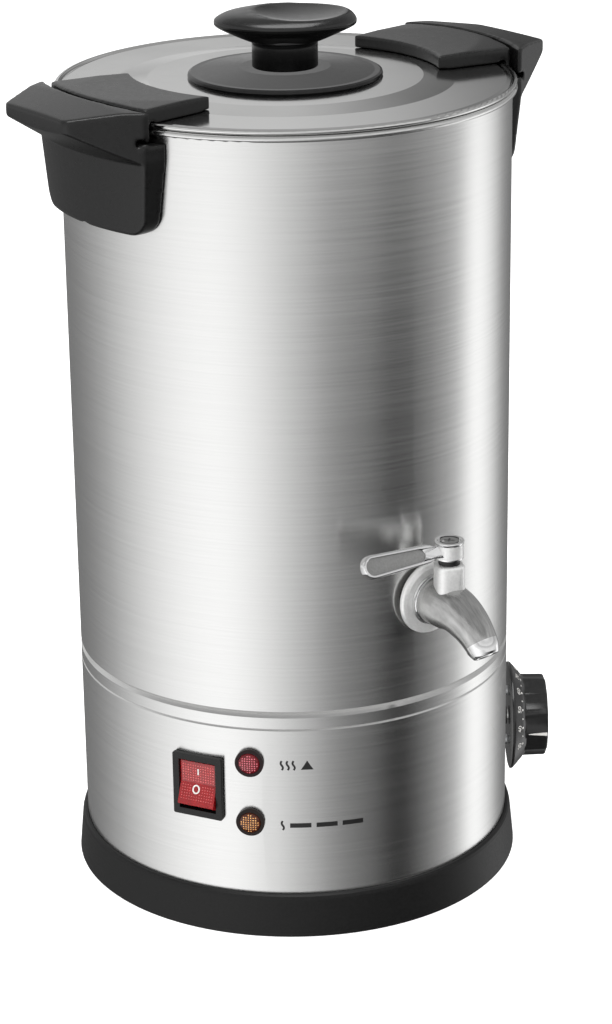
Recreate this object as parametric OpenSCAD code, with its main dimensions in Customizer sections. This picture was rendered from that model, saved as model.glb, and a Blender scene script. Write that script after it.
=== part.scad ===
// Candle wax melter: a lidded steel tank with a lever tap on a heated base.
// Millimetres. Z is up, the tap points to -Y, and the grips lie along X.
// The origin is the centre of the plane that the feet stand on.

/* [Tank] */
// Outside radius of the tank and of the base shell
body_r = 110; // [95:1:130]
// Sheet thickness of tank, shell and lid
steel_t = 0.8; // [0.6:0.1:1.2]
// Height of the tank wall, from the seam to the top of the rim
pot_h = 286; // [220:1:340]
// Radius of the rolled rim bead
rim_bead_r = 1.6; // [1.2:0.1:2]
// Depth of the notch at the seam between tank and base
seam_depth = 1.7; // [1:0.1:2.2]

/* [Base] */
// Height of the steel shell that shows between foot ring and seam
shell_h = 96.5; // [90:0.5:130]
// Height of the foot ring
ring_h = 22; // [18:0.5:30]
// Distance that the ring stands proud of the shell at its foot
ring_flare = 4.6; // [2.5:0.1:6]
// Distance that the rubber feet lift the ring
foot_lift = 0.5; // [0.4:0.1:1.5]
// Radius of one rubber foot
foot_r = 8; // [6:0.5:10]
// Thickness of the bottom plate
plate_t = 1; // [0.8:0.1:1.5]
// Radius of the rods that tie tank, shell and ring together
rod_r = 2.5; // [2:0.25:3]

/* [Heater] */
// Radius of the aluminium heat spreader
heater_r = 62; // [55:1:70]
// Thickness of the heat spreader
heater_t = 5; // [4:0.5:8]
// Radius of the heating tube's ring, at the middle of the tube
element_ring_r = 50; // [44:1:54]
// Radius of the heating tube
element_r = 3.2; // [2.5:0.1:4]
// Radius of the stud that holds the heater
stud_r = 3; // [2.5:0.5:4]

/* [Tap] */
// Height of the tap's axis above the seam
tap_rise = 53; // [40:1:90]
// Radius of the tap's tail through the wall
tail_r = 8; // [7:0.5:9]
// Radius of the waterway
bore_r = 4.5; // [3.5:0.25:5]
// Radius of the rosette
rosette_r = 18; // [16:0.5:22]
// Radius of the spout where it leaves its collar
barrel_r = 11.8; // [11.2:0.1:12.6]
// Distance from the wall to the stem
stem_reach = 17; // [16.5:0.5:20]
// Radius of the ball
ball_r = 6.9; // [6.5:0.1:7.2]
// Radius of the stem
stem_r = 3; // [2.5:0.25:3.5]
// Length of the lever, from the stem to its tip
lever_len = 52; // [40:1:65]
// Height of the lever's blade
lever_h = 11; // [8:0.5:13]
// Radius of the bend in the spout, at its middle line
bend_r = 32; // [30:1:38]
// Angle of the bend in the spout
bend_deg = 55; // [50:1:60]

/* [Lid] */
// Radius of the raised centre of the lid
crown_r = 67; // [58:1:72]
// Height of the raised centre above the flat rim of the lid
crown_h = 1.7; // [1.2:0.1:4]
// Radius of the black disc under the knob
disc_r = 47.4; // [40:0.2:54]
// Radius of the knob's stem
knob_stem_r = 16; // [12:0.5:18]
// Height from the disc to the underside of the knob's grip
knob_clear = 15.5; // [12:0.5:22]
// Length of the knob's grip
knob_len = 69; // [60:1:80]
// Width of the knob's grip
knob_w = 48; // [40:1:60]

/* [Grips] */
// Height of the grips above the rim
grip_rise = 10.5; // [9:0.5:16]
// Distance from the wall out to the split between the lid's half and the handle
grip_split = 5.5; // [5:0.5:9]
// Gap between the two halves of a grip
grip_gap = 2.6; // [2:0.1:4]
// Distance from the wall out to the end of a handle
grip_out = 33; // [30:1:44]
// Distance from the wall in to the beginning of the lid's half of a grip
grip_in = 34; // [28:1:36]
// Half of the grip's width at the split
grip_half_w = 41; // [36:1:44]
// Half of the handle's width at its outer end
grip_end_half_w = 29.5; // [24:0.5:33]
// Height of the apron below the rim
apron_h = 50.5; // [44:0.5:60]
// Thickness of the apron over the tank wall, at the wedge
apron_t = 11; // [10:0.2:12]

/* [Controls] */
// Angle of the switch from the tap, seen from above
switch_deg = -61.7; // [-75:0.1:-60]
// Width of the switch frame
switch_w = 26.6; // [24:0.2:30]
// Height of the switch frame
switch_h = 33; // [30:0.5:38]
// Height of the switch's middle below the seam
switch_drop = 41.3; // [38:0.5:50]
// Angle of the rocker's two faces
rocker_tilt = 11; // [8:0.5:13]
// Angle of the two lamps from the tap
lamp_deg = -47.8; // [-49:0.1:-44]
// Radius of a lamp's frame
lamp_r = 7.1; // [6.5:0.1:8]
// Height of the heat lamp below the seam
heat_lamp_drop = 25.6; // [22:0.2:28]
// Height of the warm lamp below the seam
warm_lamp_drop = 57.4; // [50:0.2:60]
// Angle of the dial from the tap
dial_deg = 55; // [45:1:70]
// Height of the dial's middle below the seam
dial_drop = 52; // [46:0.5:56]
// Radius of the dial's skirt
dial_skirt_r = 28; // [26:0.5:34]
// Radius of the dial's grip
dial_grip_r = 21.2; // [18:0.1:23]
// Distance that the dial stands out from the shell
dial_reach = 21; // [19:0.5:28]
// Radius of the thermostat's shaft
shaft_r = 3; // [2.5:0.25:3.5]
// Bore of the cable gland
gland_bore_r = 3.6; // [3:0.1:4.5]

/* [Hidden] */
$fn = 96;

// Clearances: a running fit, an easy fit, a gap between bodies, and a face contact
run_fit = 0.05;
easy_fit = 0.3;
body_gap = 0.3;
eps = 0.01;
hole_fit = 0.1;
// How far a cutter starts inside the wall, and ends outside it
cut_in = 8;
cut_out = 4;

// Heights
ring_top = foot_lift + ring_h;
seam_z = ring_top + shell_h;
rim_z = seam_z + pot_h;
pot_floor_z = seam_z + steel_t;
bead_r_at = body_r - steel_t + rim_bead_r;
inner_r = body_r - steel_t;

// Base
ring_wall = 2.7;
ring_edge = 0.5;
ring_seat_z = ring_top - 8;
ring_floor_t = 3;
plate_r = body_r - 6;
plate_rise = 2;
plate_z = foot_lift + plate_rise;
ring_floor_z = plate_z + plate_t;
shell_lip_r = body_r - 10;
flange_r = inner_r - seam_depth;
groove_drop = 8;
groove_w = 1.2;
groove_d = 0.5;
rod_at = shell_lip_r - 9;
rod_degs = [0, 120, 240];
rod_nut_h = 2;
foot_at = body_r - 24;
vent_at = [0.33 * plate_r, 0.56 * plate_r];
vent_len = 16;
vent_w = 4;
foot_degs = [45, 135, 225, 315];
screw_at = shell_lip_r - 0.5;
screw_degs = [0, 90, 180, 270];
screw_r = 1.6;
screw_head_r = 3;
screw_head_h = 1.2;

// Heater
element_z = seam_z - heater_t - element_r;
clamp_t = 1.6;
clamp_w = 20;
clamp_z = element_z - element_r - clamp_t;
nut_h = 5;
stud_out = 3;
nut_r = stud_r * 1.9;
cutout_ear = 11;
ear_len = 29;
ear_w = 8;
ear_t = 1.2;
element_open = 40;
cold_len = 24;
spade_len = 9;
spade_w = 6;
spade_t = 0.8;
cutout_r = 8;
cutout_h = 9;
cutout_at = 26;
probe_r = 3;
probe_len = 60;
clip_at = 16;
clip_w = 6;
clip_len = 18;
clip_t = 1.2;
probe_y = heater_r + 13;
probe_z = seam_z - probe_r;

// Tap
tap_z = seam_z + tap_rise;
rosette_t = 3;
gasket_t = 1.5;
collar_r = barrel_r + 0.9;
collar_u = gasket_t + rosette_t;
collar_t = 2.6;
bend_u = 17;
cavity_r = ball_r + 0.4;
seat_back_u = ball_r + 2;
seat_front_u = stem_r + 0.6;
neck_r = 6.9;
neck_top = 22;
washer_h = 2.4;
hub_r = 6.6;
hub_h = 9.4;
blade_t = 4.2;
blade_tilt = 25;
blade_z = hub_h / 2 + 1.6;
hub_z = neck_top + washer_h + body_gap;
tail_len = 17;
tap_nut_h = 6;
bend_end_r = 7.6;
tip_r = 6.4;
tip_len = 3.5;
screw_recess = 1.5;
// The waterway leaves the ball straight, and bends later and tighter than the spout
bore_bend_u = stem_reach + ball_r + 0.6;
end_u = bend_u + bend_r * sin(bend_deg) + tip_len * cos(bend_deg) - bore_bend_u;
end_z = bend_r * (1 - cos(bend_deg)) + tip_len * sin(bend_deg);
bore_bend_r = (end_u * sin(bend_deg) - end_z * cos(bend_deg)) / (1 - cos(bend_deg));
bore_end_len = (end_u - bore_bend_r * sin(bend_deg)) / cos(bend_deg);

// Lid
lid_bead_r = 1.3;
lid_lift = 0.2;
lid_bead_z = rim_z + lid_lift + lid_bead_r;
lid_edge_r = bead_r_at + 0.1;
lid_flat_z = lid_bead_z + 0.7;
lid_groove = 0.5;
crown_z = lid_flat_z + crown_h;
slope_w = 15.5;
skirt_r = inner_r - 2.3;
skirt_drop = 8;
seal_h = 3.6;
disc_t = 2.6;
disc_rise = 2;
disc_z = crown_z + eps;
stem_z = disc_z + disc_t + disc_rise + 0.02;
grip_z = disc_z + disc_t + knob_clear;
knob_turn = -36;
dish_r = 90;
knob_screw_r = 2.1;
knob_hole_r = 2.6;

// Grips
grip_top = rim_z + grip_rise;
grip_split_r = body_r + grip_split;
grip_inner_r = body_r - grip_in;
grip_inner_half_w = grip_half_w - 6.5;
grip_reach = body_r + grip_out;
grip_far_r = grip_reach + 5;
grip_dip = 1.4;
grip_crown_r = 700;
grip_hollow = 20;
grip_hole_h = 8;
ledge_cut_h = 50;
bracket_shelf_w = 14;
handle_in_r = grip_split_r + grip_gap;
handle_end_z = grip_top - 3.6;
skirt_in_r = bead_r_at + rim_bead_r + 0.6;
grip_skirt_z = rim_z - 6.1;
ledge_z = grip_skirt_z - 0.5;
lid_screw_at = body_r - 18;
lid_screw_y = 22;
apron_z = rim_z - apron_h;
apron_low_r = body_r + apron_t - 2.5;
apron_half_w = grip_half_w + 4;
apron_low_half_w = grip_half_w + 1;
apron_corner = 11;
lip_h = 7.5;
wedge_z = rim_z - 15;
apron_r = body_r + apron_t;
handle_wide_r = body_r + 8.5;
end_corner_r = 4.8;
slot_w = 2;
slot_d = 4.5;
slot_z = ledge_z + 1.4;
bracket_t = 2;
bracket_w = 30;
bracket_z = apron_z + 9;
bracket_h = 22;
bracket_shelf = 7.4;
handle_screw_at = body_r + 4.2;

// Controls
switch_z = seam_z - switch_drop;
heat_lamp_z = seam_z - heat_lamp_drop;
warm_lamp_z = seam_z - warm_lamp_drop;
dial_z = seam_z - dial_drop;
frame_t = 2.2;
frame_corner = 0.9;
frame_edge = 3.3;
housing_d = 24;
housing_w = switch_w - 5;
housing_h = switch_h - 5.4;
rocker_w = switch_w - 2 * frame_edge - 2 * easy_fit;
rocker_h = switch_h - 2 * frame_edge - 2 * easy_fit;
rocker_u = -3.4;
lamp_body_r = 5.6;
lamp_body_d = 20;
lens_r = 5.4;
lens_h = 2.2;
bush_r = 4.8;
stat_w = 34;
stat_d = 26;
stat_u = sqrt(pow(inner_r, 2) - pow(stat_w / 2, 2)) - body_r - body_gap;
stat_screw_at = 14;
dial_u = 1.6;
dial_skirt_h = 6.4;
flute_r = 13.6;
flute_d = 1;
gland_z = ring_top + 17;
gland_r = 7.5;
gland_hex_r = 11.5;
gland_hex_t = 5;
gland_cap_r = 8.6;
gland_cap_u = 13;

// ---------------------------------------------------------------- helpers

// Puts children on the tank's wall: their +X runs outward at this angle from the tap
module on_wall(deg, z, r = body_r)
    rotate([0, 0, deg - 90]) translate([r, 0, z]) children();

// Cylinder along +X from x0 to x1
module rod_x(r, x0, x1)
    translate([x0, 0, 0]) rotate([0, 90, 0]) cylinder(r = r, h = x1 - x0);

// Copies of children on a circle
module around(r, degs)
    for (a = degs) rotate([0, 0, a]) translate([r, 0, 0]) children();

// Ring between two radii
module ring(ro, ri, h)
    difference() {
        cylinder(r = ro, h = h);
        translate([0, 0, -1]) cylinder(r = ri, h = h + 2);
    }

// Hexagonal nut lying on the XY plane
module hex_nut(r, bore, h)
    difference() {
        cylinder(r = r, h = h, $fn = 6);
        translate([0, 0, -1]) cylinder(r = bore, h = h + 2);
    }

// Screw standing on its head: shank up, head below z = 0
module screw_up(r, head_r, head_h, len)
    union() {
        translate([0, 0, -head_h]) cylinder(r = head_r, h = head_h);
        translate([0, 0, -eps]) cylinder(r = r, h = len);
    }

// Rounded rectangle in the YZ plane, from x = 0 to x = t
module rounded_plate(w, h, t, r)
    rotate([90, 0, 90]) linear_extrude(t) rounded_outline(w, h, r);

module rounded_outline(w, h, r)
    union() {
        square([w - 2 * r, h], center = true);
        square([w, h - 2 * r], center = true);
        for (x = [-1, 1], y = [-1, 1])
            translate([x * (w / 2 - r), y * (h / 2 - r)]) circle(r = r);
    }

// Tube along a list of points, with n sides; r is one radius or a list of them
function unit(v) = v / norm(v);
function tangent(p, i) =
    unit(p[min(i + 1, len(p) - 1)] - p[max(i - 1, 0)]);
function side_of(t) =
    unit(cross(t, abs(t[2]) < 0.9 ? [0, 0, 1] : [1, 0, 0]));
module tube(p, r, n = 8) {
    pts = [for (i = [0 : len(p) - 1])
        let (t = tangent(p, i), s = side_of(t), q = cross(t, s))
        for (k = [0 : n - 1])
            p[i] + (is_list(r) ? r[i] : r) * (cos(360 * k / n) * s + sin(360 * k / n) * q)];
    last = len(p) - 1;
    faces = concat(
        [[for (k = [0 : n - 1]) k]],
        [[for (k = [0 : n - 1]) last * n + n - 1 - k]],
        [for (i = [0 : last - 1], k = [0 : n - 1])
            [i * n + k, (i + 1) * n + k, (i + 1) * n + (k + 1) % n]],
        [for (i = [0 : last - 1], k = [0 : n - 1])
            [i * n + k, (i + 1) * n + (k + 1) % n, i * n + (k + 1) % n]]);
    polyhedron(points = pts, faces = faces, convexity = 6);
}

// Points of a curve from a to d, which leaves towards b and arrives from c
function curve(a, b, c, d, n = 14) = [for (i = [0 : n])
    let (t = i / n, w = 1 - t)
    w * w * w * a + 3 * w * w * t * b + 3 * w * t * t * c + t * t * t * d];

// A point at an angle from the tap
function at(deg, r, z) = [r * sin(deg), -r * cos(deg), z];

// ---------------------------------------------------------------- tank and base

module pot()
    color("silver") difference() {
        union() {
            rotate_extrude() polygon([
                [0, seam_z],
                [body_r - seam_depth, seam_z],
                [body_r, seam_z + seam_depth],
                [body_r, rim_z - rim_bead_r],
                [inner_r, rim_z - rim_bead_r],
                [inner_r, seam_z + seam_depth],
                [inner_r - seam_depth, pot_floor_z],
                [0, pot_floor_z]
            ]);
            rotate_extrude() translate([bead_r_at, rim_z - rim_bead_r])
                circle(r = rim_bead_r, $fn = 32);
            translate([0, 0, clamp_z - nut_h - stud_out])
                cylinder(r = stud_r, h = seam_z - clamp_z + nut_h + stud_out + eps);
        }
        on_wall(0, tap_z) rod_x(tail_r + easy_fit / 2, -cut_in, cut_out);
    }

module shell_openings() {
    on_wall(switch_deg, switch_z) translate([-cut_in, 0, 0]) rotate([90, 0, 90])
        linear_extrude(cut_in + cut_out)
            square([housing_w + 2 * easy_fit, housing_h + 2 * easy_fit], center = true);
    on_wall(lamp_deg, heat_lamp_z) rod_x(lamp_body_r + easy_fit, -cut_in, cut_out);
    on_wall(lamp_deg, warm_lamp_z) rod_x(lamp_body_r + easy_fit, -cut_in, cut_out);
    on_wall(dial_deg, dial_z) rod_x(bush_r + easy_fit, -cut_in, cut_out);
    for (s = [-1, 1])
        on_wall(dial_deg, dial_z + s * stat_screw_at)
            rod_x(screw_r + hole_fit, -cut_in, cut_out);
    on_wall(180, gland_z) rod_x(gland_r + hole_fit, -cut_in, cut_out);
}

module base_shell()
    color("silver") difference() {
        rotate_extrude() polygon([
            [inner_r, ring_seat_z],
            [body_r, ring_seat_z],
            [body_r, seam_z - groove_drop - groove_w / 2],
            [body_r - groove_d, seam_z - groove_drop],
            [body_r, seam_z - groove_drop + groove_w / 2],
            [body_r, seam_z - seam_depth],
            [body_r - seam_depth, seam_z],
            [flange_r, seam_z],
            [flange_r, seam_z - steel_t],
            [inner_r, seam_z - seam_depth]
        ]);
        shell_openings();
    }

// Flat ring welded inside the shell's top edge: the tank stands on it
module shell_flange()
    color("gainsboro") translate([0, 0, seam_z - steel_t]) ring(flange_r, shell_lip_r, steel_t);

module base_ring()
    color("#262626") difference() {
        rotate_extrude() polygon([
            [plate_r + easy_fit, foot_lift],
            [body_r + ring_flare - ring_edge, foot_lift],
            [body_r + ring_flare, foot_lift + ring_edge],
            [body_r + ring_wall, ring_top - 2.4],
            [body_r + ring_wall - 0.4, ring_top - 0.8],
            [body_r + ring_wall - 1.2, ring_top],
            [body_r + 0.2, ring_top],
            [body_r + 0.2, ring_seat_z],
            [body_r - ring_wall, ring_seat_z],
            [body_r - ring_wall, ring_floor_z + ring_floor_t],
            [shell_lip_r - 4, ring_floor_z + ring_floor_t],
            [shell_lip_r - 4, ring_floor_z],
            [plate_r + easy_fit, ring_floor_z]
        ]);
        around(screw_at, screw_degs) cylinder(r = screw_r, h = ring_top);
    }

module bottom_plate()
    color("gainsboro") difference() {
        translate([0, 0, plate_z]) cylinder(r = plate_r, h = plate_t);
        around(screw_at, screw_degs) cylinder(r = screw_r + hole_fit, h = ring_top);
        around(foot_at, foot_degs) cylinder(r = foot_r / 2, h = ring_top);
        around(rod_at, rod_degs) cylinder(r = rod_r + hole_fit, h = ring_top);
        // Two rings of cooling slots
        for (r = vent_at, a = [0 : 30 : 330])
            rotate([0, 0, a]) translate([r, -vent_w / 2, 0]) cube([vent_len, vent_w, ring_top]);
    }

module bottom_screws()
    color("silver") around(screw_at, screw_degs)
        translate([0, 0, plate_z])
            screw_up(screw_r - 0.05, screw_head_r, screw_head_h, plate_t + ring_floor_t + 2);

module rubber_feet()
    color("#1c1c1c") around(foot_at, foot_degs) union() {
        cylinder(r = foot_r, h = plate_z);
        cylinder(r = foot_r / 2 - 0.02, h = plate_z + plate_t + eps);
        translate([0, 0, plate_z + plate_t]) cylinder(r = foot_r / 2 + 1, h = 1.5);
    }

module tie_rods()
    color("silver") around(rod_at, rod_degs) translate([0, 0, plate_z - rod_nut_h])
        cylinder(r = rod_r, h = seam_z - plate_z + rod_nut_h);

module tie_rod_nuts()
    color("gray") around(rod_at, rod_degs) translate([0, 0, plate_z - rod_nut_h])
        hex_nut(rod_r * 1.8, rod_r + 0.02, rod_nut_h);

// ---------------------------------------------------------------- heater

module heater_plate()
    color("lightgray") difference() {
        translate([0, 0, seam_z - heater_t]) cylinder(r = heater_r, h = heater_t);
        translate([0, 0, seam_z - heater_t - 1]) cylinder(r = stud_r + 0.2, h = heater_t + 2);
        for (s = [-1, 1])
            translate([s * cutout_ear, -cutout_at, seam_z - heater_t - 1])
                cylinder(r = screw_r, h = heater_t - 1);
    }

module heating_element()
    color("dimgray") union() {
        translate([0, 0, element_z]) rotate([0, 0, 90 + element_open / 2])
            rotate_extrude(angle = 360 - element_open)
                translate([element_ring_r, 0]) circle(r = element_r);
        // Cold ends turn down to the terminals
        for (s = [-1, 1])
            rotate([0, 0, 90 + s * (element_open / 2 + 4)])
                translate([element_ring_r, 0, element_z - cold_len]) union() {
                    cylinder(r = element_r - 0.8, h = cold_len);
                    translate([-spade_w / 2, -spade_t / 2, -spade_len])
                        cube([spade_w, spade_t, spade_len + 1]);
                }
    }

module heater_clamp()
    color("silver") difference() {
        translate([-heater_r + 4, -clamp_w / 2, clamp_z])
            cube([2 * heater_r - 8, clamp_w, clamp_t]);
        translate([0, 0, clamp_z - 1]) cylinder(r = stud_r + hole_fit, h = clamp_t + 2);
    }

module heater_nut()
    color("gray") translate([0, 0, clamp_z - nut_h]) hex_nut(nut_r, stud_r + 0.02, nut_h);

module thermal_cutout()
    color("#303030") difference() {
        translate([0, -cutout_at, seam_z - heater_t - cutout_h]) union() {
            cylinder(r = cutout_r, h = cutout_h);
            translate([-ear_len / 2, -ear_w / 2, cutout_h - ear_t]) cube([ear_len, ear_w, ear_t]);
            for (s = [-1, 1])
                translate([s * 3.5 - spade_t / 2, -spade_w / 2, -8]) cube([spade_t, spade_w, 8 + eps]);
        }
        for (s = [-1, 1])
            translate([s * cutout_ear, -cutout_at, seam_z - heater_t - cutout_h])
                cylinder(r = screw_r + hole_fit, h = cutout_h + 1);
    }

module cutout_screws()
    color("silver") for (s = [-1, 1])
        translate([s * cutout_ear, -cutout_at, seam_z - heater_t - 1.2])
            screw_up(screw_r - 0.05, 2.6, 1.6, 4);

// The capillary runs round the heater, from the bulb to the back of the thermostat
stat_back_r = body_r + stat_u - stat_d;
capillary = curve(
    [probe_len / 2 - 1, probe_y, probe_z], [heater_r + 13, heater_r + 13, probe_z - 12],
    at(dial_deg, stat_back_r - 25, dial_z + 4), at(dial_deg, stat_back_r - 1, dial_z + 4));
module thermostat_probe()
    color("peru") union() {
        translate([-probe_len / 2, probe_y, probe_z]) rod_x(probe_r, 0, probe_len);
        tube(capillary, 1);
    }

module probe_clip()
    color("silver") for (s = [-1, 1])
        translate([s * clip_at - clip_w / 2, probe_y, probe_z]) difference() {
            union() {
                rod_x(probe_r + 1, 0, clip_w);
                translate([0, -clip_len / 2, probe_r - clip_t]) cube([clip_w, clip_len, clip_t]);
            }
            rod_x(probe_r + 0.02, -1, clip_w + 1);
            translate([-1, -6, probe_r]) cube([clip_w + 2, 12, 6]);
        }

// ---------------------------------------------------------------- thermostat and dial

module thermostat_body()
    color("#3a3a3a") on_wall(dial_deg, dial_z) difference() {
        union() {
            translate([stat_u - stat_d, -stat_w / 2, -stat_w / 2])
                cube([stat_d, stat_w, stat_w]);
            rod_x(bush_r, stat_u - eps, dial_u - 0.8);
            for (s = [-1, 1])
                translate([stat_u - stat_d - 8, s * 9 - spade_w / 2, -6])
                    cube([8 + eps, spade_w, spade_t]);
        }
        rod_x(shaft_r + run_fit, stat_u - 12, dial_u + 1);
        for (s = [-1, 1]) translate([0, 0, s * stat_screw_at])
            rod_x(screw_r, stat_u - 8, stat_u + 1);
    }

module thermostat_screws()
    color("silver") for (s = [-1, 1])
        on_wall(dial_deg, dial_z + s * stat_screw_at) union() {
            rod_x(screw_r - 0.05, -9, eps);
            rod_x(screw_head_r - 0.4, 0, screw_head_h);
        }

module thermostat_shaft()
    color("silver") on_wall(dial_deg, dial_z)
        rod_x(shaft_r, stat_u - 10, dial_reach - 5);

module dial_knob()
    color("#1e1e1e") on_wall(dial_deg, dial_z) difference() {
        rotate([0, 90, 0]) rotate_extrude() polygon([
            [0, dial_u + 4], [dial_grip_r - 3, dial_u + 4], [dial_skirt_r - 2, dial_u],
            [dial_skirt_r, dial_u], [dial_skirt_r, dial_u + 1],
            [dial_grip_r + 1.4, dial_u + dial_skirt_h],
            [dial_grip_r, dial_u + dial_skirt_h],
            [dial_grip_r, dial_reach - 1.2],
            [dial_grip_r - 1, dial_reach - 0.2], [0, dial_reach]
        ]);
        rod_x(shaft_r + 0.02, dial_u - 1, dial_reach - 5);
        // Twelve shallow flutes, with one ridge at the pointer
        for (a = [20 : 30 : 350]) rotate([a, 0, 0])
            translate([0, dial_grip_r + flute_r - flute_d, 0])
                rod_x(flute_r, dial_u + dial_skirt_h + 1, dial_reach + 2);
    }

// ---------------------------------------------------------------- wiring

terminal_y = 46;
terminal_z = plate_z + plate_t;
block_w = 44;
block_d = 20;
block_h = 14;
ways = [-14, 0, 14];
way_w = 6;
way_h = 4;
way_z = 3;
module terminal_block()
    color("ivory") translate([0, terminal_y, terminal_z]) difference() {
        translate([-block_w / 2, 0, 0]) cube([block_w, block_d, block_h]);
        for (x = ways) translate([x, block_d / 2, way_z + 1])
            cylinder(r = 2, h = block_h);
        for (x = ways) translate([x - way_w / 2, -1, way_z])
            cube([way_w, block_d + 2, way_h]);
    }

module terminal_screws()
    color("goldenrod") for (x = ways)
        translate([x, terminal_y + block_d / 2, terminal_z + way_z + way_h])
            cylinder(r = 1.9, h = block_h - way_z - way_h - 1);

// Three leads: from the element's two ends and from the switch to the terminals
lead_r = 1.3;
lead_z = terminal_z + way_z + way_h / 2;
cold_deg = element_open / 2 + 4;
cold_z = element_z - cold_len - spade_len - 0.4;
function cold_end(s, drop) = [
    -s * element_ring_r * sin(cold_deg), element_ring_r * cos(cold_deg), cold_z - drop];
function behind(way, out) = [way, terminal_y + block_d + out, lead_z];
lead_bow = 30;
lead_turn = 34;
lead_side = [32, 20];
lead_one = curve(
    cold_end(1, 0), cold_end(1, lead_bow), behind(ways[1], lead_bow), behind(ways[1], -4));
lead_two = curve(
    cold_end(-1, 0), cold_end(-1, lead_bow), behind(ways[2], lead_bow), behind(ways[2], -4));
switch_lead_r = body_r - housing_d - 3.5;
switch_lead_z = switch_z - 9.6;
lead_three = curve(
    at(switch_deg, switch_lead_r, switch_lead_z), [lead_side[0] - body_r, lead_side[1], lead_z],
    behind(ways[0] - 2, lead_turn), behind(ways[0], -4));
module wiring_loom()
    color("firebrick") union() {
        tube(lead_one, lead_r);
        tube(lead_two, lead_r);
        tube(lead_three, lead_r);
    }

// ---------------------------------------------------------------- switch and lamps

module switch_housing()
    color("#151515") on_wall(switch_deg, switch_z) difference() {
        union() {
            translate([0.05, 0, 0]) rounded_plate(switch_w, switch_h, frame_t, frame_corner);
            translate([-housing_d, -housing_w / 2, -housing_h / 2])
                cube([housing_d + 0.05 + eps, housing_w, housing_h]);
            for (z = [-8, 0, 8])
                translate([-housing_d - 7, -spade_w / 2, z - spade_t / 2])
                    cube([7 + eps, spade_w, spade_t]);
        }
        translate([-11, -switch_w / 2 + frame_edge, -switch_h / 2 + frame_edge])
            cube([11 + 2 * frame_t, switch_w - 2 * frame_edge, switch_h - 2 * frame_edge]);
        translate([rocker_u, 0, 0]) rotate([90, 0, 0])
            cylinder(r = 1.5 + run_fit, h = switch_w, center = true);
    }

module switch_rocker()
    color("#c81414") on_wall(switch_deg, switch_z) translate([rocker_u, 0, 0])
        rotate([0, -rocker_tilt, 0]) union() {
            intersection() {
                rotate([90, 0, 0]) linear_extrude(rocker_w, center = true) polygon([
                    [4.2, 0],
                    [4.2 + rocker_h / 2 * tan(rocker_tilt), rocker_h / 2],
                    [-3, rocker_h / 2 - 0.6], [-6, 5], [-6, -5],
                    [-3, -rocker_h / 2 + 0.6],
                    [4.2 + rocker_h / 2 * tan(rocker_tilt), -rocker_h / 2]
                ]);
                rotate([90, 0, 0])
                    cylinder(r = rocker_h / 2 - 0.2, h = rocker_w + 2, center = true);
            }
            rotate([90, 0, 0])
                cylinder(r = 1.5, h = rocker_w + 2 * easy_fit + 1.2, center = true);
        }

module lamp_body(z)
    on_wall(lamp_deg, z) difference() {
        union() {
            rod_x(lamp_body_r, -lamp_body_d, 0.6);
            rod_x(lamp_r, 0.3, 2.1);
            for (s = [-1, 1])
                translate([-lamp_body_d - 6, s * 2.6 - 0.4, -2]) cube([6 + eps, 0.8, 4]);
        }
        rod_x(lens_r - 0.8, -10, 3);
        rod_x(lens_r, 0.9, 3);
    }

module lamp_lens(z)
    on_wall(lamp_deg, z) rotate([0, 90, 0]) rotate_extrude() polygon([
        [0, -8], [lens_r - 1, -8], [lens_r - 1, 0.9], [lens_r - 0.05, 0.9],
        [lens_r - 0.05, 2.1], [lens_r - 0.6, 2.8], [lens_r - 2, 3.3], [0, 2.1 + lens_h]
    ]);

module heat_lamp_body() color("#3a0c0c") lamp_body(heat_lamp_z);
module heat_lamp_lens() color("#d01818") lamp_lens(heat_lamp_z);
module warm_lamp_body() color("#3a1c08") lamp_body(warm_lamp_z);
module warm_lamp_lens() color("#e06a10") lamp_lens(warm_lamp_z);

// ---------------------------------------------------------------- cable gland

module cable_gland()
    color("#202020") on_wall(180, gland_z) difference() {
        union() {
            rod_x(gland_r, -12, 4);
            translate([0.2, 0, 0]) rotate([0, 90, 0])
                cylinder(r = gland_hex_r, h = gland_hex_t, $fn = 6);
            rod_x(gland_cap_r, gland_hex_t, gland_cap_u);
            translate([gland_cap_u, 0, 0]) rotate([0, 90, 0])
                cylinder(r1 = gland_cap_r, r2 = gland_cap_r - 2.4, h = 5);
        }
        rod_x(gland_bore_r, -14, 20);
    }

module gland_locknut()
    color("#303030") on_wall(180, gland_z) translate([-8, 0, 0])
        rotate([0, 90, 0]) hex_nut(11, gland_r + 0.02, 5.4);

// ---------------------------------------------------------------- tap

// The tap's own frame: +X runs out of the wall, +Y to the tap's right, +Z up
module at_tap() on_wall(0, tap_z) children();

module tap_outer_gasket()
    color("#2a2a2a") at_tap() rotate([0, 90, 0]) ring(rosette_r - 3, tail_r + hole_fit, gasket_t);

module tap_rosette()
    color("gainsboro") at_tap() translate([gasket_t, 0, 0]) rotate([0, 90, 0])
        difference() {
            rotate_extrude() polygon([
                [0, 0], [rosette_r, 0], [rosette_r, 1.4], [rosette_r - 0.6, 2.4],
                [rosette_r - 2.4, rosette_t], [0, rosette_t]
            ]);
            translate([0, 0, -1]) cylinder(r = tail_r + hole_fit, h = rosette_t + 2);
        }

inner_gasket_r = tail_r + 3;
inner_face_u = sqrt(pow(inner_r, 2) - pow(inner_gasket_r, 2)) - body_r - eps;
module tap_inner_gasket()
    color("#2a2a2a") at_tap() translate([inner_face_u - gasket_t, 0, 0])
        rotate([0, 90, 0]) ring(inner_gasket_r, tail_r + hole_fit, gasket_t);

module tap_nut()
    color("silver") at_tap() translate([inner_face_u - gasket_t - tap_nut_h, 0, 0])
        rotate([0, 90, 0]) hex_nut(tail_r + 5, tail_r + 0.05, tap_nut_h);

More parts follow.
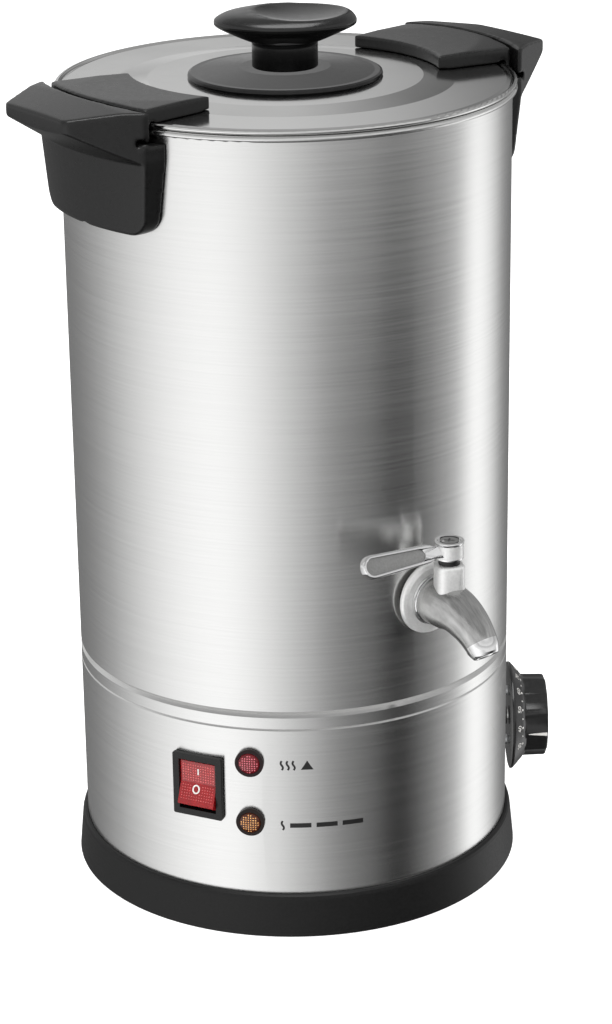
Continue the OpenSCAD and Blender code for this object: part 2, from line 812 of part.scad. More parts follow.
// The spout is a horn: it tapers round its bend, and a little more over its tip
horn_steps = 14;
horn_start = collar_u + collar_t - 0.8;
horn_line = concat(
    [[horn_start, 0, 0]],
    [for (i = [0 : horn_steps]) let (a = bend_deg * i / horn_steps)
        [bend_u + bend_r * sin(a), 0, -bend_r * (1 - cos(a))]],
    [[bend_u + bend_r * sin(bend_deg) + tip_len * cos(bend_deg), 0, -end_z]]);
horn_radii = concat(
    [barrel_r],
    [for (i = [0 : horn_steps]) barrel_r + (bend_end_r - barrel_r) * i / horn_steps],
    [tip_r]);

// The waterway through tail and ball, round its bend and out of the tip
module spout_bore() {
    rod_x(bore_r, -tail_len - 1, bore_bend_u);
    translate([bore_bend_u, 0, -bore_bend_r]) rotate([90, 0, 0]) rotate([0, 0, 90 - bend_deg])
        rotate_extrude(angle = bend_deg + 1.5) translate([bore_bend_r, 0])
            circle(r = bore_r - 0.3);
    translate([bore_bend_u, 0, -bore_bend_r]) rotate([0, bend_deg, 0])
        translate([0, 0, bore_bend_r]) rod_x(bore_r + 0.2, -0.8, bore_end_len + 2);
}

module tap_body()
    color("lightgray") at_tap() difference() {
        union() {
            rod_x(tail_r, -tail_len, collar_u + 1);
            rod_x(collar_r, collar_u, collar_u + collar_t);
            tube(horn_line, horn_radii, 36);
            translate([stem_reach, 0, 0]) cylinder(r = neck_r, h = neck_top);
        }
        spout_bore();
        rod_x(cavity_r, stem_reach - seat_back_u, stem_reach + ball_r);
        translate([stem_reach, 0, 0]) cylinder(r = stem_r + run_fit, h = neck_top + 1);
    }

// Each seat is a ring whose cone face just clears the ball
seat_deg = 54;
function seat_u(r) = (ball_r + 0.08 - r * sin(seat_deg)) / cos(seat_deg);
function seat_r(u) = (ball_r + 0.08 - u * cos(seat_deg)) / sin(seat_deg);
module seat(back_u)
    rotate([0, 90, 0]) rotate_extrude() polygon([
        [bore_r, seat_u(bore_r)], [seat_r(seat_front_u), seat_front_u],
        [cavity_r - run_fit, seat_front_u], [cavity_r - run_fit, back_u],
        [bore_r, back_u]
    ]);
module tap_seats()
    color("white") at_tap() translate([stem_reach, 0, 0]) union() {
        seat(ball_r - run_fit);
        mirror([1, 0, 0]) seat(seat_back_u - run_fit);
    }

module tap_ball()
    color("silver") at_tap() translate([stem_reach, 0, 0]) difference() {
        sphere(r = ball_r);
        rod_x(bore_r, -ball_r - 1, ball_r + 1);
        translate([-1.6, -ball_r, ball_r - 2]) cube([3.2, 2 * ball_r, 3]);
    }

module tap_stem()
    color("silver") at_tap() translate([stem_reach, 0, 0]) union() {
        translate([0, 0, ball_r + run_fit])
            cylinder(r = stem_r, h = hub_z + hub_h - 3 - ball_r - run_fit);
        translate([-1.55, -2.4, ball_r - 1.95]) cube([3.1, 4.8, 2.2]);
    }

module stem_washer()
    color("#151515") at_tap() translate([stem_reach, 0, neck_top])
        ring(5.2, stem_r + run_fit, washer_h);

// Side view of the lever's blade, which widens and rises from the hub to its round end
module blade_outline()
    union() {
        polygon([
            [0, 1.6], [-hub_r - 4, 1.6],
            [-lever_len + lever_h / 2, blade_z - lever_h / 2],
            [-lever_len + lever_h / 2, blade_z + lever_h / 2],
            [-hub_r - 4, hub_h - 0.8], [0, hub_h - 0.8]
        ]);
        translate([-lever_len + lever_h / 2, blade_z]) circle(r = lever_h / 2);
    }

module tap_lever()
    color("lightgray") at_tap() translate([stem_reach, 0, hub_z]) difference() {
        union() {
            cylinder(r = hub_r, h = hub_h);
            translate([0, 0, hub_h / 2]) rotate([0, -blade_tilt, 0])
                translate([-blade_t / 2, 0, -hub_h / 2]) difference() {
                    rotate([90, 0, 90]) linear_extrude(blade_t) blade_outline();
                    // Shallow panel in the outer face
                    translate([blade_t - 0.6, 0, 0]) rotate([90, 0, 90])
                        linear_extrude(2) blade_panel();
                }
        }
        translate([0, 0, -1]) cylinder(r = stem_r + 0.02, h = hub_h - 1.9);
        translate([0, 0, hub_h - screw_recess]) cylinder(r = hub_r - 1.8, h = 3);
        translate([0, 0, -1]) cylinder(r = 1.6, h = hub_h + 2);
    }

module blade_panel()
    union() {
        polygon([
            [-hub_r - 7, 3.4], [-lever_len + lever_h / 2, blade_z - lever_h / 2 + 1.8],
            [-lever_len + lever_h / 2, blade_z + lever_h / 2 - 1.8],
            [-hub_r - 7, hub_h - 2.4]
        ]);
        translate([-lever_len + lever_h / 2, blade_z]) circle(r = lever_h / 2 - 1.8);
    }

module lever_screw()
    color("silver") at_tap() translate([stem_reach, 0, hub_z + hub_h - screw_recess]) difference() {
        union() {
            cylinder(r = hub_r - 2.1, h = 1.2);
            translate([0, 0, -1.5 + eps]) cylinder(r = 1.5, h = 1.5);
        }
        for (a = [45, 135]) rotate([0, 0, a]) translate([-2.6, -0.5, 0.4]) cube([5.2, 1, 2]);
    }

// ---------------------------------------------------------------- lid

// The lid's top surface as an outline, lowered by d
function lid_outline(d) = [
    [0, crown_z - d], [crown_r, crown_z - d], [crown_r + slope_w, lid_flat_z - d],
    [body_r - 3, lid_flat_z - d], [body_r - 1, lid_flat_z - lid_groove - d],
    [lid_edge_r, lid_bead_z + lid_bead_r - d]
];

module lid_pan()
    color("silver") difference() {
        union() {
            rotate_extrude() polygon(concat(
                lid_outline(0),
                [for (i = [5 : -1 : 0]) lid_outline(steel_t)[i]]));
            rotate_extrude() translate([lid_edge_r, lid_bead_z])
                circle(r = lid_bead_r, $fn = 32);
            // Plug skirt that enters the tank, turned out to hold the seal
            rotate_extrude() polygon([
                [skirt_r - steel_t, lid_flat_z - 0.4],
                [skirt_r, lid_flat_z - 0.4],
                [skirt_r, rim_z - skirt_drop + steel_t],
                [skirt_r + 1.4, rim_z - skirt_drop + steel_t],
                [skirt_r + 1.4, rim_z - skirt_drop],
                [skirt_r - steel_t, rim_z - skirt_drop]
            ]);
        }
        translate([0, 0, crown_z - 5]) cylinder(r = knob_hole_r, h = 10);
        for (s = [-1, 1], y = [-lid_screw_y, lid_screw_y])
            translate([s * lid_screw_at, y, rim_z - 5]) cylinder(r = screw_r + hole_fit, h = 20);
    }

module lid_seal()
    color("#e8e8e4") translate([0, 0, rim_z - skirt_drop + steel_t + body_gap])
        ring(inner_r - body_gap, skirt_r + body_gap, seal_h);

module lid_disc()
    color("#2a2a2a") difference() {
        rotate_extrude() polygon([
            [0, disc_z], [disc_r - 0.8, disc_z], [disc_r, disc_z + 0.9],
            [disc_r - 0.3, disc_z + disc_t - 0.6], [disc_r - 1.4, disc_z + disc_t],
            [disc_r - 4, disc_z + disc_t], [knob_stem_r + 6, disc_z + disc_t + disc_rise],
            [0, disc_z + disc_t + disc_rise]
        ]);
        translate([0, 0, disc_z - 1]) cylinder(r = knob_hole_r, h = 20);
    }

// Levels of the oval grip: height above its underside, half length, half width, and how far
// the level is moved towards the grip's right end and its back
knob_levels = [
    [-1, knob_stem_r + 2.5, knob_stem_r + 1.5, 0, 0],
    [3.4, 0.40 * knob_len, 0.40 * knob_w, 0, 0],
    [6.4, 0.485 * knob_len, 0.48 * knob_w, 0.3, 0],
    [8.2, knob_len / 2, knob_w / 2, 0.4, 0],
    [10.2, 0.49 * knob_len, 0.485 * knob_w, 0.6, 0.3],
    [12.6, 0.43 * knob_len, 0.42 * knob_w, 2.2, 1.4],
    [14.2, 0.31 * knob_len, 0.30 * knob_w, 5.5, 3.5]
];
module knob_pad()
    hull() for (v = knob_levels)
        translate([v[3], v[4], grip_z + v[0]]) scale([v[1], v[2], 1])
            cylinder(r = 1, h = 0.1, $fn = 48);

module lid_knob()
    color("#1c1c1c") rotate([0, 0, knob_turn]) difference() {
        union() {
            rotate_extrude() polygon([
                [0, stem_z], [knob_stem_r, stem_z], [knob_stem_r, grip_z - 2.4],
                [knob_stem_r + 0.8, grip_z - 0.8], [knob_stem_r + 2, grip_z], [0, grip_z]
            ]);
            knob_pad();
        }
        // Shallow dish for the palm, nearer the right end and the front
        translate([9, -3, grip_z + 10.4 + dish_r]) sphere(r = dish_r, $fn = 120);
        translate([0, 0, stem_z - 1]) cylinder(r = knob_screw_r, h = 15);
    }

module knob_screw()
    color("silver") translate([0, 0, crown_z - steel_t])
        screw_up(knob_screw_r - 0.05, 5, 2.4, stem_z - crown_z + 12);

// ---------------------------------------------------------------- grips and handles

// The grips' tops are crowned across, so that they fall a little to either side
module grip_crown()
    translate([0, 0, grip_top - grip_crown_r])
        rod_x(grip_crown_r, grip_inner_r - 30, grip_far_r + 10, $fn = 720);

// Plan of the lid's half of a grip, along +X
module lid_grip_plan()
    let (widen = (grip_half_w - grip_inner_half_w) / (grip_split_r - grip_inner_r))
    polygon([for (v = [[-14, -1], [grip_split_r - grip_inner_r + 4, -1],
                       [grip_split_r - grip_inner_r + 4, 1], [-14, 1]])
        [grip_inner_r + v[0], v[1] * (grip_inner_half_w + widen * (v[0] + 6))]]);

module lid_grip()
    difference() {
        intersection() {
            rotate_extrude() polygon([
                [grip_inner_r, grip_skirt_z], [grip_split_r, grip_skirt_z],
                [grip_split_r, grip_top], [grip_inner_r, grip_top - grip_dip]
            ]);
            linear_extrude(2 * rim_z) lid_grip_plan();
            grip_crown();
        }
        // Seated on the lid, and hollow over the two beads
        rotate_extrude() polygon([
            [0, grip_skirt_z - grip_hollow], [0, crown_z + 0.02], [crown_r, crown_z + 0.02],
            [crown_r + slope_w, lid_flat_z + 0.02],
            [lid_edge_r - lid_bead_r - 0.1, lid_flat_z + 0.02],
            [lid_edge_r - lid_bead_r - 0.1, lid_bead_z + lid_bead_r + 0.3],
            [skirt_in_r, lid_bead_z + lid_bead_r + 0.3],
            [skirt_in_r, grip_skirt_z - grip_hollow]
        ]);
        for (y = [-lid_screw_y, lid_screw_y])
            translate([lid_screw_at, y, lid_flat_z - grip_hole_h / 2])
                cylinder(r = screw_r, h = grip_hole_h);
    }

module right_lid_grip() color("#2e2e2e") lid_grip();
module left_lid_grip() color("#2e2e2e") mirror([1, 0, 0]) lid_grip();

module lid_grip_screws()
    color("silver") for (s = [-1, 1], y = [-lid_screw_y, lid_screw_y])
        translate([s * lid_screw_at, y, lid_flat_z - steel_t])
            screw_up(screw_r - 0.05, 3, 1.6, 4.4);

// Section of a handle: a wedge over a thin apron, both concentric with the tank
wedge_slope = (handle_end_z - lip_h - wedge_z) / (grip_reach - apron_r);
top_slope = (grip_top - handle_end_z) / (grip_reach - handle_in_r);
module handle_profile()
    polygon([
        [body_r - 5, apron_z], [apron_low_r - 1.6, apron_z], [apron_low_r, apron_z + 1.6],
        [apron_r, wedge_z], [grip_far_r, wedge_z + wedge_slope * (grip_far_r - apron_r)],
        [grip_far_r, grip_top - top_slope * (grip_far_r - handle_in_r)],
        [handle_in_r, grip_top], [body_r - 5, grip_top]
    ]);

// Plan of a handle, with round outer corners
module handle_plan()
    let (corner_x = grip_reach - end_corner_r, corner_y = grip_end_half_w - 1.6)
    polygon(concat(
        [[0, -apron_half_w - 1], [body_r + 2, -apron_half_w]],
        [[handle_wide_r, -grip_half_w]],
        [for (a = [-58 : 14.5 : 0]) [
            corner_x + end_corner_r * cos(a), -corner_y + end_corner_r * (1 + sin(a))]],
        [for (a = [0 : 14.5 : 58]) [
            corner_x + end_corner_r * cos(a), corner_y - end_corner_r * (1 - sin(a))]],
        [[handle_wide_r, grip_half_w]],
        [[body_r + 2, apron_half_w], [0, apron_half_w + 1]]
    ));

// Front view of a handle: the apron narrows downward and has round corners
module handle_front()
    union() {
        polygon([
            [-apron_half_w - 1, grip_top + 1], [-apron_half_w - 1, wedge_z + 6],
            [-apron_half_w, wedge_z], [-apron_low_half_w, apron_z + apron_corner],
            [apron_low_half_w, apron_z + apron_corner], [apron_half_w, wedge_z],
            [apron_half_w + 1, wedge_z + 6], [apron_half_w + 1, grip_top + 1]
        ]);
        for (s = [-1, 1])
            translate([s * (apron_low_half_w - apron_corner), apron_z + apron_corner])
                circle(r = apron_corner);
        translate([-apron_low_half_w + apron_corner, apron_z])
            square([2 * (apron_low_half_w - apron_corner), apron_corner + 1]);
    }

module handle()
    difference() {
        intersection() {
            rotate_extrude() handle_profile();
            linear_extrude(2 * rim_z) handle_plan();
            rotate([90, 0, 90]) linear_extrude(2 * grip_reach) handle_front();
            grip_crown();
        }
        // Round the tank's wall, and back to the split
        translate([0, 0, apron_z - 5]) cylinder(r = body_r + 0.1, h = apron_h + 20);
        translate([0, 0, ledge_z]) cylinder(r = handle_in_r, h = ledge_cut_h);
        // Hooked slot low in the split
        translate([0, 0, slot_z]) ring(handle_in_r + slot_d, handle_in_r - 2, slot_w);
        translate([0, 0, slot_z - 1.8])
            ring(handle_in_r + slot_d, handle_in_r + slot_d - 1.6, 3);
        // Pocket for the bracket, and the screw's way up into it
        translate([body_r - 5, -bracket_w / 2 - 0.5, bracket_z])
            cube([5 + bracket_shelf + 0.2, bracket_w + 1, bracket_h + 2]);
        translate([handle_screw_at, 0, apron_z - 1]) cylinder(r = 3.3, h = 4);
        translate([handle_screw_at, 0, apron_z - 1]) cylinder(r = screw_r + hole_fit, h = 20);
    }

module right_handle() color("#262626") handle();
module left_handle() color("#262626") mirror([1, 0, 0]) handle();

module handle_brackets()
    color("silver") for (s = [0, 1]) mirror([s, 0, 0]) difference() {
        union() {
            translate([body_r + 0.05, -bracket_w / 2, bracket_z])
                cube([bracket_t, bracket_w, bracket_h]);
            translate([body_r + 0.05, -bracket_shelf_w / 2, bracket_z])
                cube([bracket_shelf, bracket_shelf_w, bracket_t]);
        }
        translate([handle_screw_at, 0, bracket_z - 1])
            cylinder(r = screw_r, h = bracket_t + 2);
    }

module handle_screws()
    color("silver") for (s = [0, 1]) mirror([s, 0, 0])
        translate([handle_screw_at, 0, apron_z + 3])
            screw_up(screw_r - 0.05, 3, 1.8, bracket_z - apron_z + 2);

// ---------------------------------------------------------------- assembly

pot();
base_shell();
shell_flange();
base_ring();
bottom_plate();
bottom_screws();
rubber_feet();
tie_rods();
tie_rod_nuts();
heater_plate();
heating_element();
heater_clamp();
heater_nut();
thermal_cutout();
cutout_screws();
thermostat_probe();
probe_clip();
thermostat_body();
thermostat_screws();
thermostat_shaft();
dial_knob();
terminal_block();
terminal_screws();
wiring_loom();
switch_housing();
switch_rocker();
heat_lamp_body();
heat_lamp_lens();
warm_lamp_body();
warm_lamp_lens();
cable_gland();
gland_locknut();
tap_rosette();
tap_outer_gasket();
tap_inner_gasket();
tap_nut();
tap_body();
tap_seats();
tap_ball();
tap_stem();
stem_washer();
tap_lever();
lever_screw();
lid_pan();
lid_seal();
lid_disc();
lid_knob();
knob_screw();
left_lid_grip();
right_lid_grip();
lid_grip_screws();
left_handle();
right_handle();
handle_brackets();
handle_screws();
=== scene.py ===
import math

import bmesh
import bpy
from mathutils import Matrix, Vector


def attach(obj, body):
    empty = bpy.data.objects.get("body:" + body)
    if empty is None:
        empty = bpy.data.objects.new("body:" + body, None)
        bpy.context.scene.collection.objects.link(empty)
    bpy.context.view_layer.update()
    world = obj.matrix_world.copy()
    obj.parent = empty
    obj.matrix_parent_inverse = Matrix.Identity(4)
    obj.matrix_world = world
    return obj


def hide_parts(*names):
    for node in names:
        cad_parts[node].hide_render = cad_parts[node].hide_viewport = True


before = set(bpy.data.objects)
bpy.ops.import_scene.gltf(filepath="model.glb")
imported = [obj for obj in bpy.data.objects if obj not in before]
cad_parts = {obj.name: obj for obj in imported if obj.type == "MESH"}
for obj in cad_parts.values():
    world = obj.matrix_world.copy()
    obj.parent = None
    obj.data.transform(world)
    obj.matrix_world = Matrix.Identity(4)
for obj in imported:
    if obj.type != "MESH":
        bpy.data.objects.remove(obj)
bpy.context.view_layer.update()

# ------------------------------------------------------------------ camera
# It stands to the left of the tap, a little above the lid, and looks down at the tank. The
# photograph is 612 x 1024 and its optical axis lies a little left of the middle.
PHOTO_W, PHOTO_H = 612, 1024
view_side = math.radians(36)
view_down = 0.3564
view_roll = -0.0155
view_distance, view_height = 1.4348, 0.7172
focal_pixels, axis_pixel_x = 2998, 292

camera_data = bpy.data.cameras.new("camera")
camera_data.sensor_width = 36
camera_data.lens = focal_pixels * camera_data.sensor_width / PHOTO_H
camera_data.shift_x = (PHOTO_W / 2 - axis_pixel_x) / PHOTO_H
camera_data.clip_start = 0.05
camera = bpy.data.objects.new("camera", camera_data)
bpy.context.scene.collection.objects.link(camera)
ahead = Vector((
    math.sin(view_side) * math.cos(view_down),
    math.cos(view_side) * math.cos(view_down),
    -math.sin(view_down),
))
level_right = Vector((math.cos(view_side), -math.sin(view_side), 0))
level_up = level_right.cross(ahead)
right = level_right * math.cos(view_roll) + level_up * math.sin(view_roll)
up = level_up * math.cos(view_roll) - level_right * math.sin(view_roll)
camera.matrix_world = Matrix.Translation((
    -math.sin(view_side) * view_distance,
    -math.cos(view_side) * view_distance,
    view_height,
)) @ Matrix((right, up, -ahead)).transposed().to_4x4()
bpy.context.scene.camera = camera
bpy.context.scene.view_settings.view_transform = "Standard"


# ------------------------------------------------------------------ studio
# A white floor, a ceiling lamp with two side lamps, and a light tent whose cloth is lit
# unevenly. Only glossy surfaces see the tent, which draws the broad bands on the steel. Its roof
# is dim and its ground dark, so that rolled edges and grooves show as dark and pale lines.
def add(tree, kind, inputs=None, **settings):
    """Adds a node with its settings, and links or sets its inputs."""
    node = tree.nodes.new(kind)
    for key, value in settings.items():
        setattr(node, key, value)
    for key, value in (inputs or {}).items():
        if isinstance(value, bpy.types.NodeSocket):
            tree.links.new(value, node.inputs[key])
        else:
            node.inputs[key].default_value = value
    return node


def paint(code):
    """Turns an sRGB hex colour into a linear one."""
    parts = [int(code[i:i + 2], 16) / 255 for i in (1, 3, 5)]
    return (*[p / 12.92 if p <= 0.04045 else ((p + 0.055) / 1.055) ** 2.4 for p in parts], 1)


def blank(name):
    """A new material with an empty node tree and its output."""
    material = bpy.data.materials.new(name)
    material.use_nodes = True
    material.node_tree.nodes.clear()
    return material, material.node_tree, add(material.node_tree, "ShaderNodeOutputMaterial")


def place(name, mesh):
    thing = bpy.data.objects.new(name, mesh)
    bpy.context.scene.collection.objects.link(thing)
    return thing


def sheet(name, low, high, z):
    """A flat rectangle at a height."""
    mesh = bpy.data.meshes.new(name)
    corners = [(low[0], low[1], z), (high[0], low[1], z), (high[0], high[1], z), (low[0], high[1], z)]
    mesh.from_pydata(corners, [], [(0, 1, 2, 3)])
    return place(name, mesh)


floor_half = 6
floor = sheet("floor", (-floor_half, -floor_half), (floor_half, floor_half), 0)
floor.visible_glossy = False
material, tree, output = blank("floor_card")
ray = add(tree, "ShaderNodeLightPath")
lit = add(tree, "ShaderNodeBsdfDiffuse", {"Color": paint("#e8e8e8")})
lift = add(tree, "ShaderNodeEmission",
           {"Color": paint("#ffffff"), "Strength": ray.outputs["Is Camera Ray"]})
both = add(tree, "ShaderNodeAddShader", {0: lit.outputs[0], 1: lift.outputs[0]})
tree.links.new(both.outputs[0], output.inputs["Surface"])
floor.data.materials.append(material)

world = bpy.data.worlds.new("studio")
bpy.context.scene.world = world
world.use_nodes = True
tree = world.node_tree
tree.nodes.clear()
ray = add(tree, "ShaderNodeLightPath")
seen = add(tree, "ShaderNodeMath", {0: ray.outputs["Is Camera Ray"], 1: ray.outputs["Is Glossy Ray"]},
           operation="MAXIMUM")
shown = add(tree, "ShaderNodeMath", {0: seen.outputs[0], 1: ray.outputs["Is Transmission Ray"]},
            operation="MAXIMUM")
fill_level = 0.45
strength = add(tree, "ShaderNodeMapRange", {"Value": shown.outputs[0], "To Min": fill_level, "To Max": 1.0})
sky = add(tree, "ShaderNodeBackground", {"Color": paint("#ffffff"), "Strength": strength.outputs[0]})
add(tree, "ShaderNodeOutputWorld", {"Surface": sky.outputs[0]})

# The tent's cloth, by the angle from the camera's side, left to right in degrees: a broad light
# in front on the left, a dark gap on the right, and a bright strip towards the right edge
wall_cloth = [
    (-180, 0.15), (-112, 0.47), (-40, 1.4), (10, 0.55), (43, 0.11), (67, 0.10), (95, 0.64),
    (112, 1.4), (140, 0.42), (180, 0.15),
]
# Its upper part, which the lid mirrors: paler all round, with a dark gap behind on the right
lid_cloth = [(-180, 0.80), (-60, 1.0), (60, 1.0), (160, 0.45), (172, 0.14), (177, 0.62), (180, 0.80)]
# And by height, in metres above the floor
height_cloth = [(0.2, 0.98), (0.95, 0.62), (1.15, 0.9), (1.9, 0.75), (2.4, 1.0)]
tent_radius, tent_low, tent_high, tent_sides = 3.0, -3.0, 2.4, 96
cloth_gain, roof_level, ground_level = 1.5, 0.42, 0.12
wall_ends, lid_begins = -0.25, 0.15


def ramp_of(tree, value, stops, low, high, smooth="CARDINAL"):
    """A grey ramp over stops given in real units between low and high."""
    share = add(tree, "ShaderNodeMapRange", {"Value": value, "From Min": low, "From Max": high})
    ramp = add(tree, "ShaderNodeValToRGB", {0: share.outputs[0]})
    ramp.color_ramp.interpolation = smooth
    for i, (where, level) in enumerate(stops):
        at = (where - low) / (high - low)
        stop = ramp.color_ramp.elements[i] if i < 2 else ramp.color_ramp.elements.new(at)
        stop.position = at
        stop.color = (level, level, level, 1)
    return ramp.outputs[0]


material, tree, output = blank("tent_cloth")
spot = add(tree, "ShaderNodeTexCoord")
turned = add(tree, "ShaderNodeVectorRotate", {"Vector": spot.outputs["Object"], "Angle": view_side},
             rotation_type="Z_AXIS")
axes = add(tree, "ShaderNodeSeparateXYZ", {0: turned.outputs[0]})
toward = add(tree, "ShaderNodeMath", {0: axes.outputs["Y"], 1: -1.0}, operation="MULTIPLY")
angle = add(tree, "ShaderNodeMath", {0: axes.outputs["X"], 1: toward.outputs[0]}, operation="ARCTAN2")
degrees = add(tree, "ShaderNodeMath", {0: angle.outputs[0]}, operation="DEGREES")
dimmed_wall, dimmed_lid = ([(a, v / cloth_gain) for a, v in stops] for stops in (wall_cloth, lid_cloth))
for_wall = ramp_of(tree, degrees.outputs[0], dimmed_wall, -180, 180)
for_lid = ramp_of(tree, degrees.outputs[0], dimmed_lid, -180, 180, "LINEAR")
by_height = ramp_of(tree, axes.outputs["Z"], height_cloth, 0, tent_high, "EASE")
upper = add(tree, "ShaderNodeMix", {0: 1.0, 6: for_lid, 7: by_height},
            data_type="RGBA", blend_type="MULTIPLY")
raised = add(tree, "ShaderNodeMapRange",
             {"Value": axes.outputs["Z"], "From Min": wall_ends, "From Max": lid_begins})
cloth = add(tree, "ShaderNodeMix", {0: raised.outputs[0], 6: for_wall, 7: upper.outputs[2]},
            data_type="RGBA")
glow = add(tree, "ShaderNodeEmission", {"Color": cloth.outputs[2], "Strength": cloth_gain})
tree.links.new(glow.outputs[0], output.inputs["Surface"])
mesh = bpy.data.meshes.new("tent")
rim = []
for i in range(tent_sides):
    turn = math.tau * i / tent_sides
    rim.append((tent_radius * math.sin(turn), tent_radius * math.cos(turn)))
mesh.from_pydata(
    [(x, y, z) for z in (tent_low, tent_high) for x, y in rim], [],
    [(i, (i + 1) % tent_sides, tent_sides + (i + 1) % tent_sides, tent_sides + i)
     for i in range(tent_sides)])
tent = place("tent", mesh)
tent.data.materials.append(material)
roof = sheet("tent_roof", (-tent_radius, -tent_radius), (tent_radius, tent_radius), tent_high)
ground = sheet("tent_ground", (-tent_radius, -tent_radius), (tent_radius, tent_radius), tent_low)
for cloth_piece, level in ((roof, roof_level), (ground, ground_level)):
    material, tree, output = blank("plain_cloth")
    glow = add(tree, "ShaderNodeEmission", {"Color": paint("#ffffff"), "Strength": level})
    tree.links.new(glow.outputs[0], output.inputs["Surface"])
    cloth_piece.data.materials.append(material)
for cloth_piece in (tent, roof, ground):
    cloth_piece.visible_camera = False
    cloth_piece.visible_diffuse = False
    cloth_piece.visible_shadow = False
    cloth_piece.visible_transmission = False


def lamp(name, watts, size, place_at, aim):
    light = bpy.data.lights.new(name, "AREA")
    light.shape = "RECTANGLE"
    light.energy = watts
    light.size, light.size_y = size
    thing = bpy.data.objects.new(name, light)
    thing.location = place_at
    thing.rotation_mode = "QUATERNION"
    thing.rotation_quaternion = (Vector(aim) - Vector(place_at)).to_track_quat("-Z", "Y")
    thing.visible_glossy = False
    bpy.context.scene.collection.objects.link(thing)
    return thing


lamp("ceiling_lamp", 26, (1.6, 1.6), (-0.2, -0.3, 2.2), (0, 0, 0.2))
lamp("left_lamp", 14, (0.8, 1.4), (-1.7, -0.6, 1.0), (0, 0, 0.2))
lamp("front_lamp", 10, (1.0, 1.0), (-0.5, -2.0, 1.1), (0, 0, 0.2))

# A bank of lamps overhead that only the black mouldings are lit by, for the gleam on their edges
edge_bank = lamp("edge_bank", 34, (1.5, 1.5), (-0.3, -0.4, 2.2), (0, 0, 0.3))
edge_bank.visible_glossy = True
black_mouldings = bpy.data.collections.new("black_mouldings")
edge_bank.light_linking.receiver_collection = black_mouldings

# ------------------------------------------------------------------ tank
# A pot deep-drawn from 0.8 mm stainless steel, with a bead rolled round its mouth. The wall is
# brushed round and round: that draws fine level lines and smears reflections up and down.
MM = 0.001


def dress(material, *names):
    """Gives carried-over nodes their finish."""
    for name in names:
        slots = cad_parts[name].data.materials
        slots.clear()
        slots.append(material)


def finish(name, tones, rough, grain, relief, metal=0.0, stretch=(1, 1, 1)):
    """A material with one grain: two colours, two roughnesses, and sizes in millimetres."""
    material, tree, output = blank(name)
    spot = add(tree, "ShaderNodeTexCoord")
    sized = add(tree, "ShaderNodeMapping",
                {"Vector": spot.outputs["Object"], "Scale": [s / (grain * MM) for s in stretch]})
    grit = add(tree, "ShaderNodeTexNoise", {"Vector": sized.outputs[0], "Scale": 1.0, "Detail": 2.0})
    spread = add(tree, "ShaderNodeMapRange", {"Value": grit.outputs[0], "From Min": 0.3, "From Max": 0.7})
    tone = add(tree, "ShaderNodeMix", {0: spread.outputs[0], 6: paint(tones[0]), 7: paint(tones[1])},
               data_type="RGBA")
    gloss = add(tree, "ShaderNodeMapRange",
                {"Value": spread.outputs[0], "To Min": rough[0], "To Max": rough[1]})
    raised = add(tree, "ShaderNodeBump", {"Height": grit.outputs[0], "Distance": relief * MM})
    shader = add(tree, "ShaderNodeBsdfPrincipled", {
        "Base Color": tone.outputs[2], "Roughness": gloss.outputs[0], "Normal": raised.outputs[0],
        "Metallic": metal})
    tree.links.new(shader.outputs[0], output.inputs["Surface"])
    return material, shader


# The real brush marks are about 0.1 mm apart; they are drawn 0.9 mm apart to show at all. The
# radial tangent turns them round the tank, and smears what it mirrors up and down.
brushed, shader = finish("stainless_brushed", ("#d9d9d8", "#dededd"), (0.22, 0.25), 0.9, 0.0007, 1.0,
                         (0.012, 0.012, 1))
tree = brushed.node_tree
round_tank = add(tree, "ShaderNodeTangent", direction_type="RADIAL", axis="Z")
tree.links.new(round_tank.outputs[0], shader.inputs["Tangent"])
shader.inputs["Anisotropic"].default_value = 0.75
shader.inputs["Anisotropic Rotation"].default_value = 0.25
dress(brushed, "pot")

# ------------------------------------------------------------------ base shell
# A band of the same brushed sheet round the heater. Its top edge is turned in under the tank,
# so that the two rounded edges meet in a dark groove; a second, shallow groove is rolled below.
# A flat zinc-plated ring welded inside carries the tank.
dress(brushed, "base_shell")
zinc, shader = finish("steel_zinc_plated", ("#a9abad", "#c3c5c6"), (0.28, 0.42), 5.0, 0.02, 1.0)
dress(zinc, "shell_flange")

# ------------------------------------------------------------------ foot ring
# Injection-moulded glass-filled nylon, pushed up over the shell's lower edge. Fine spark
# erosion in the mould leaves it matt, with soft highlights along its rounded lip.
ring_black, shader = finish("nylon_moulded", ("#101010", "#161616"), (0.38, 0.46), 1.2, 0.006)
shader.inputs["Specular IOR Level"].default_value = 0.22
dress(ring_black, "base_ring")
black_mouldings.objects.link(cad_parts["base_ring"])

# ------------------------------------------------------------------ floor pan
# A punched sheet with cooling slots closes the base. It is zinc-plated, as are its screws; the rods that
# tie tank, shell and ring together, and their nuts, are bright drawn steel. Rubber feet are pushed through.
dress(zinc, "bottom_plate", "bottom_screws")
bright_rod, shader = finish("steel_drawn_bright", ("#b4b4b2", "#cacac8"), (0.2, 0.3), 2.0, 0.01, 1.0,
                            (1, 1, 0.05))
dress(bright_rod, "tie_rods", "tie_rod_nuts")
rubber, shader = finish("rubber_moulded", ("#171717", "#1f1f1f"), (0.7, 0.85), 1.5, 0.05)
dress(rubber, "rubber_feet")

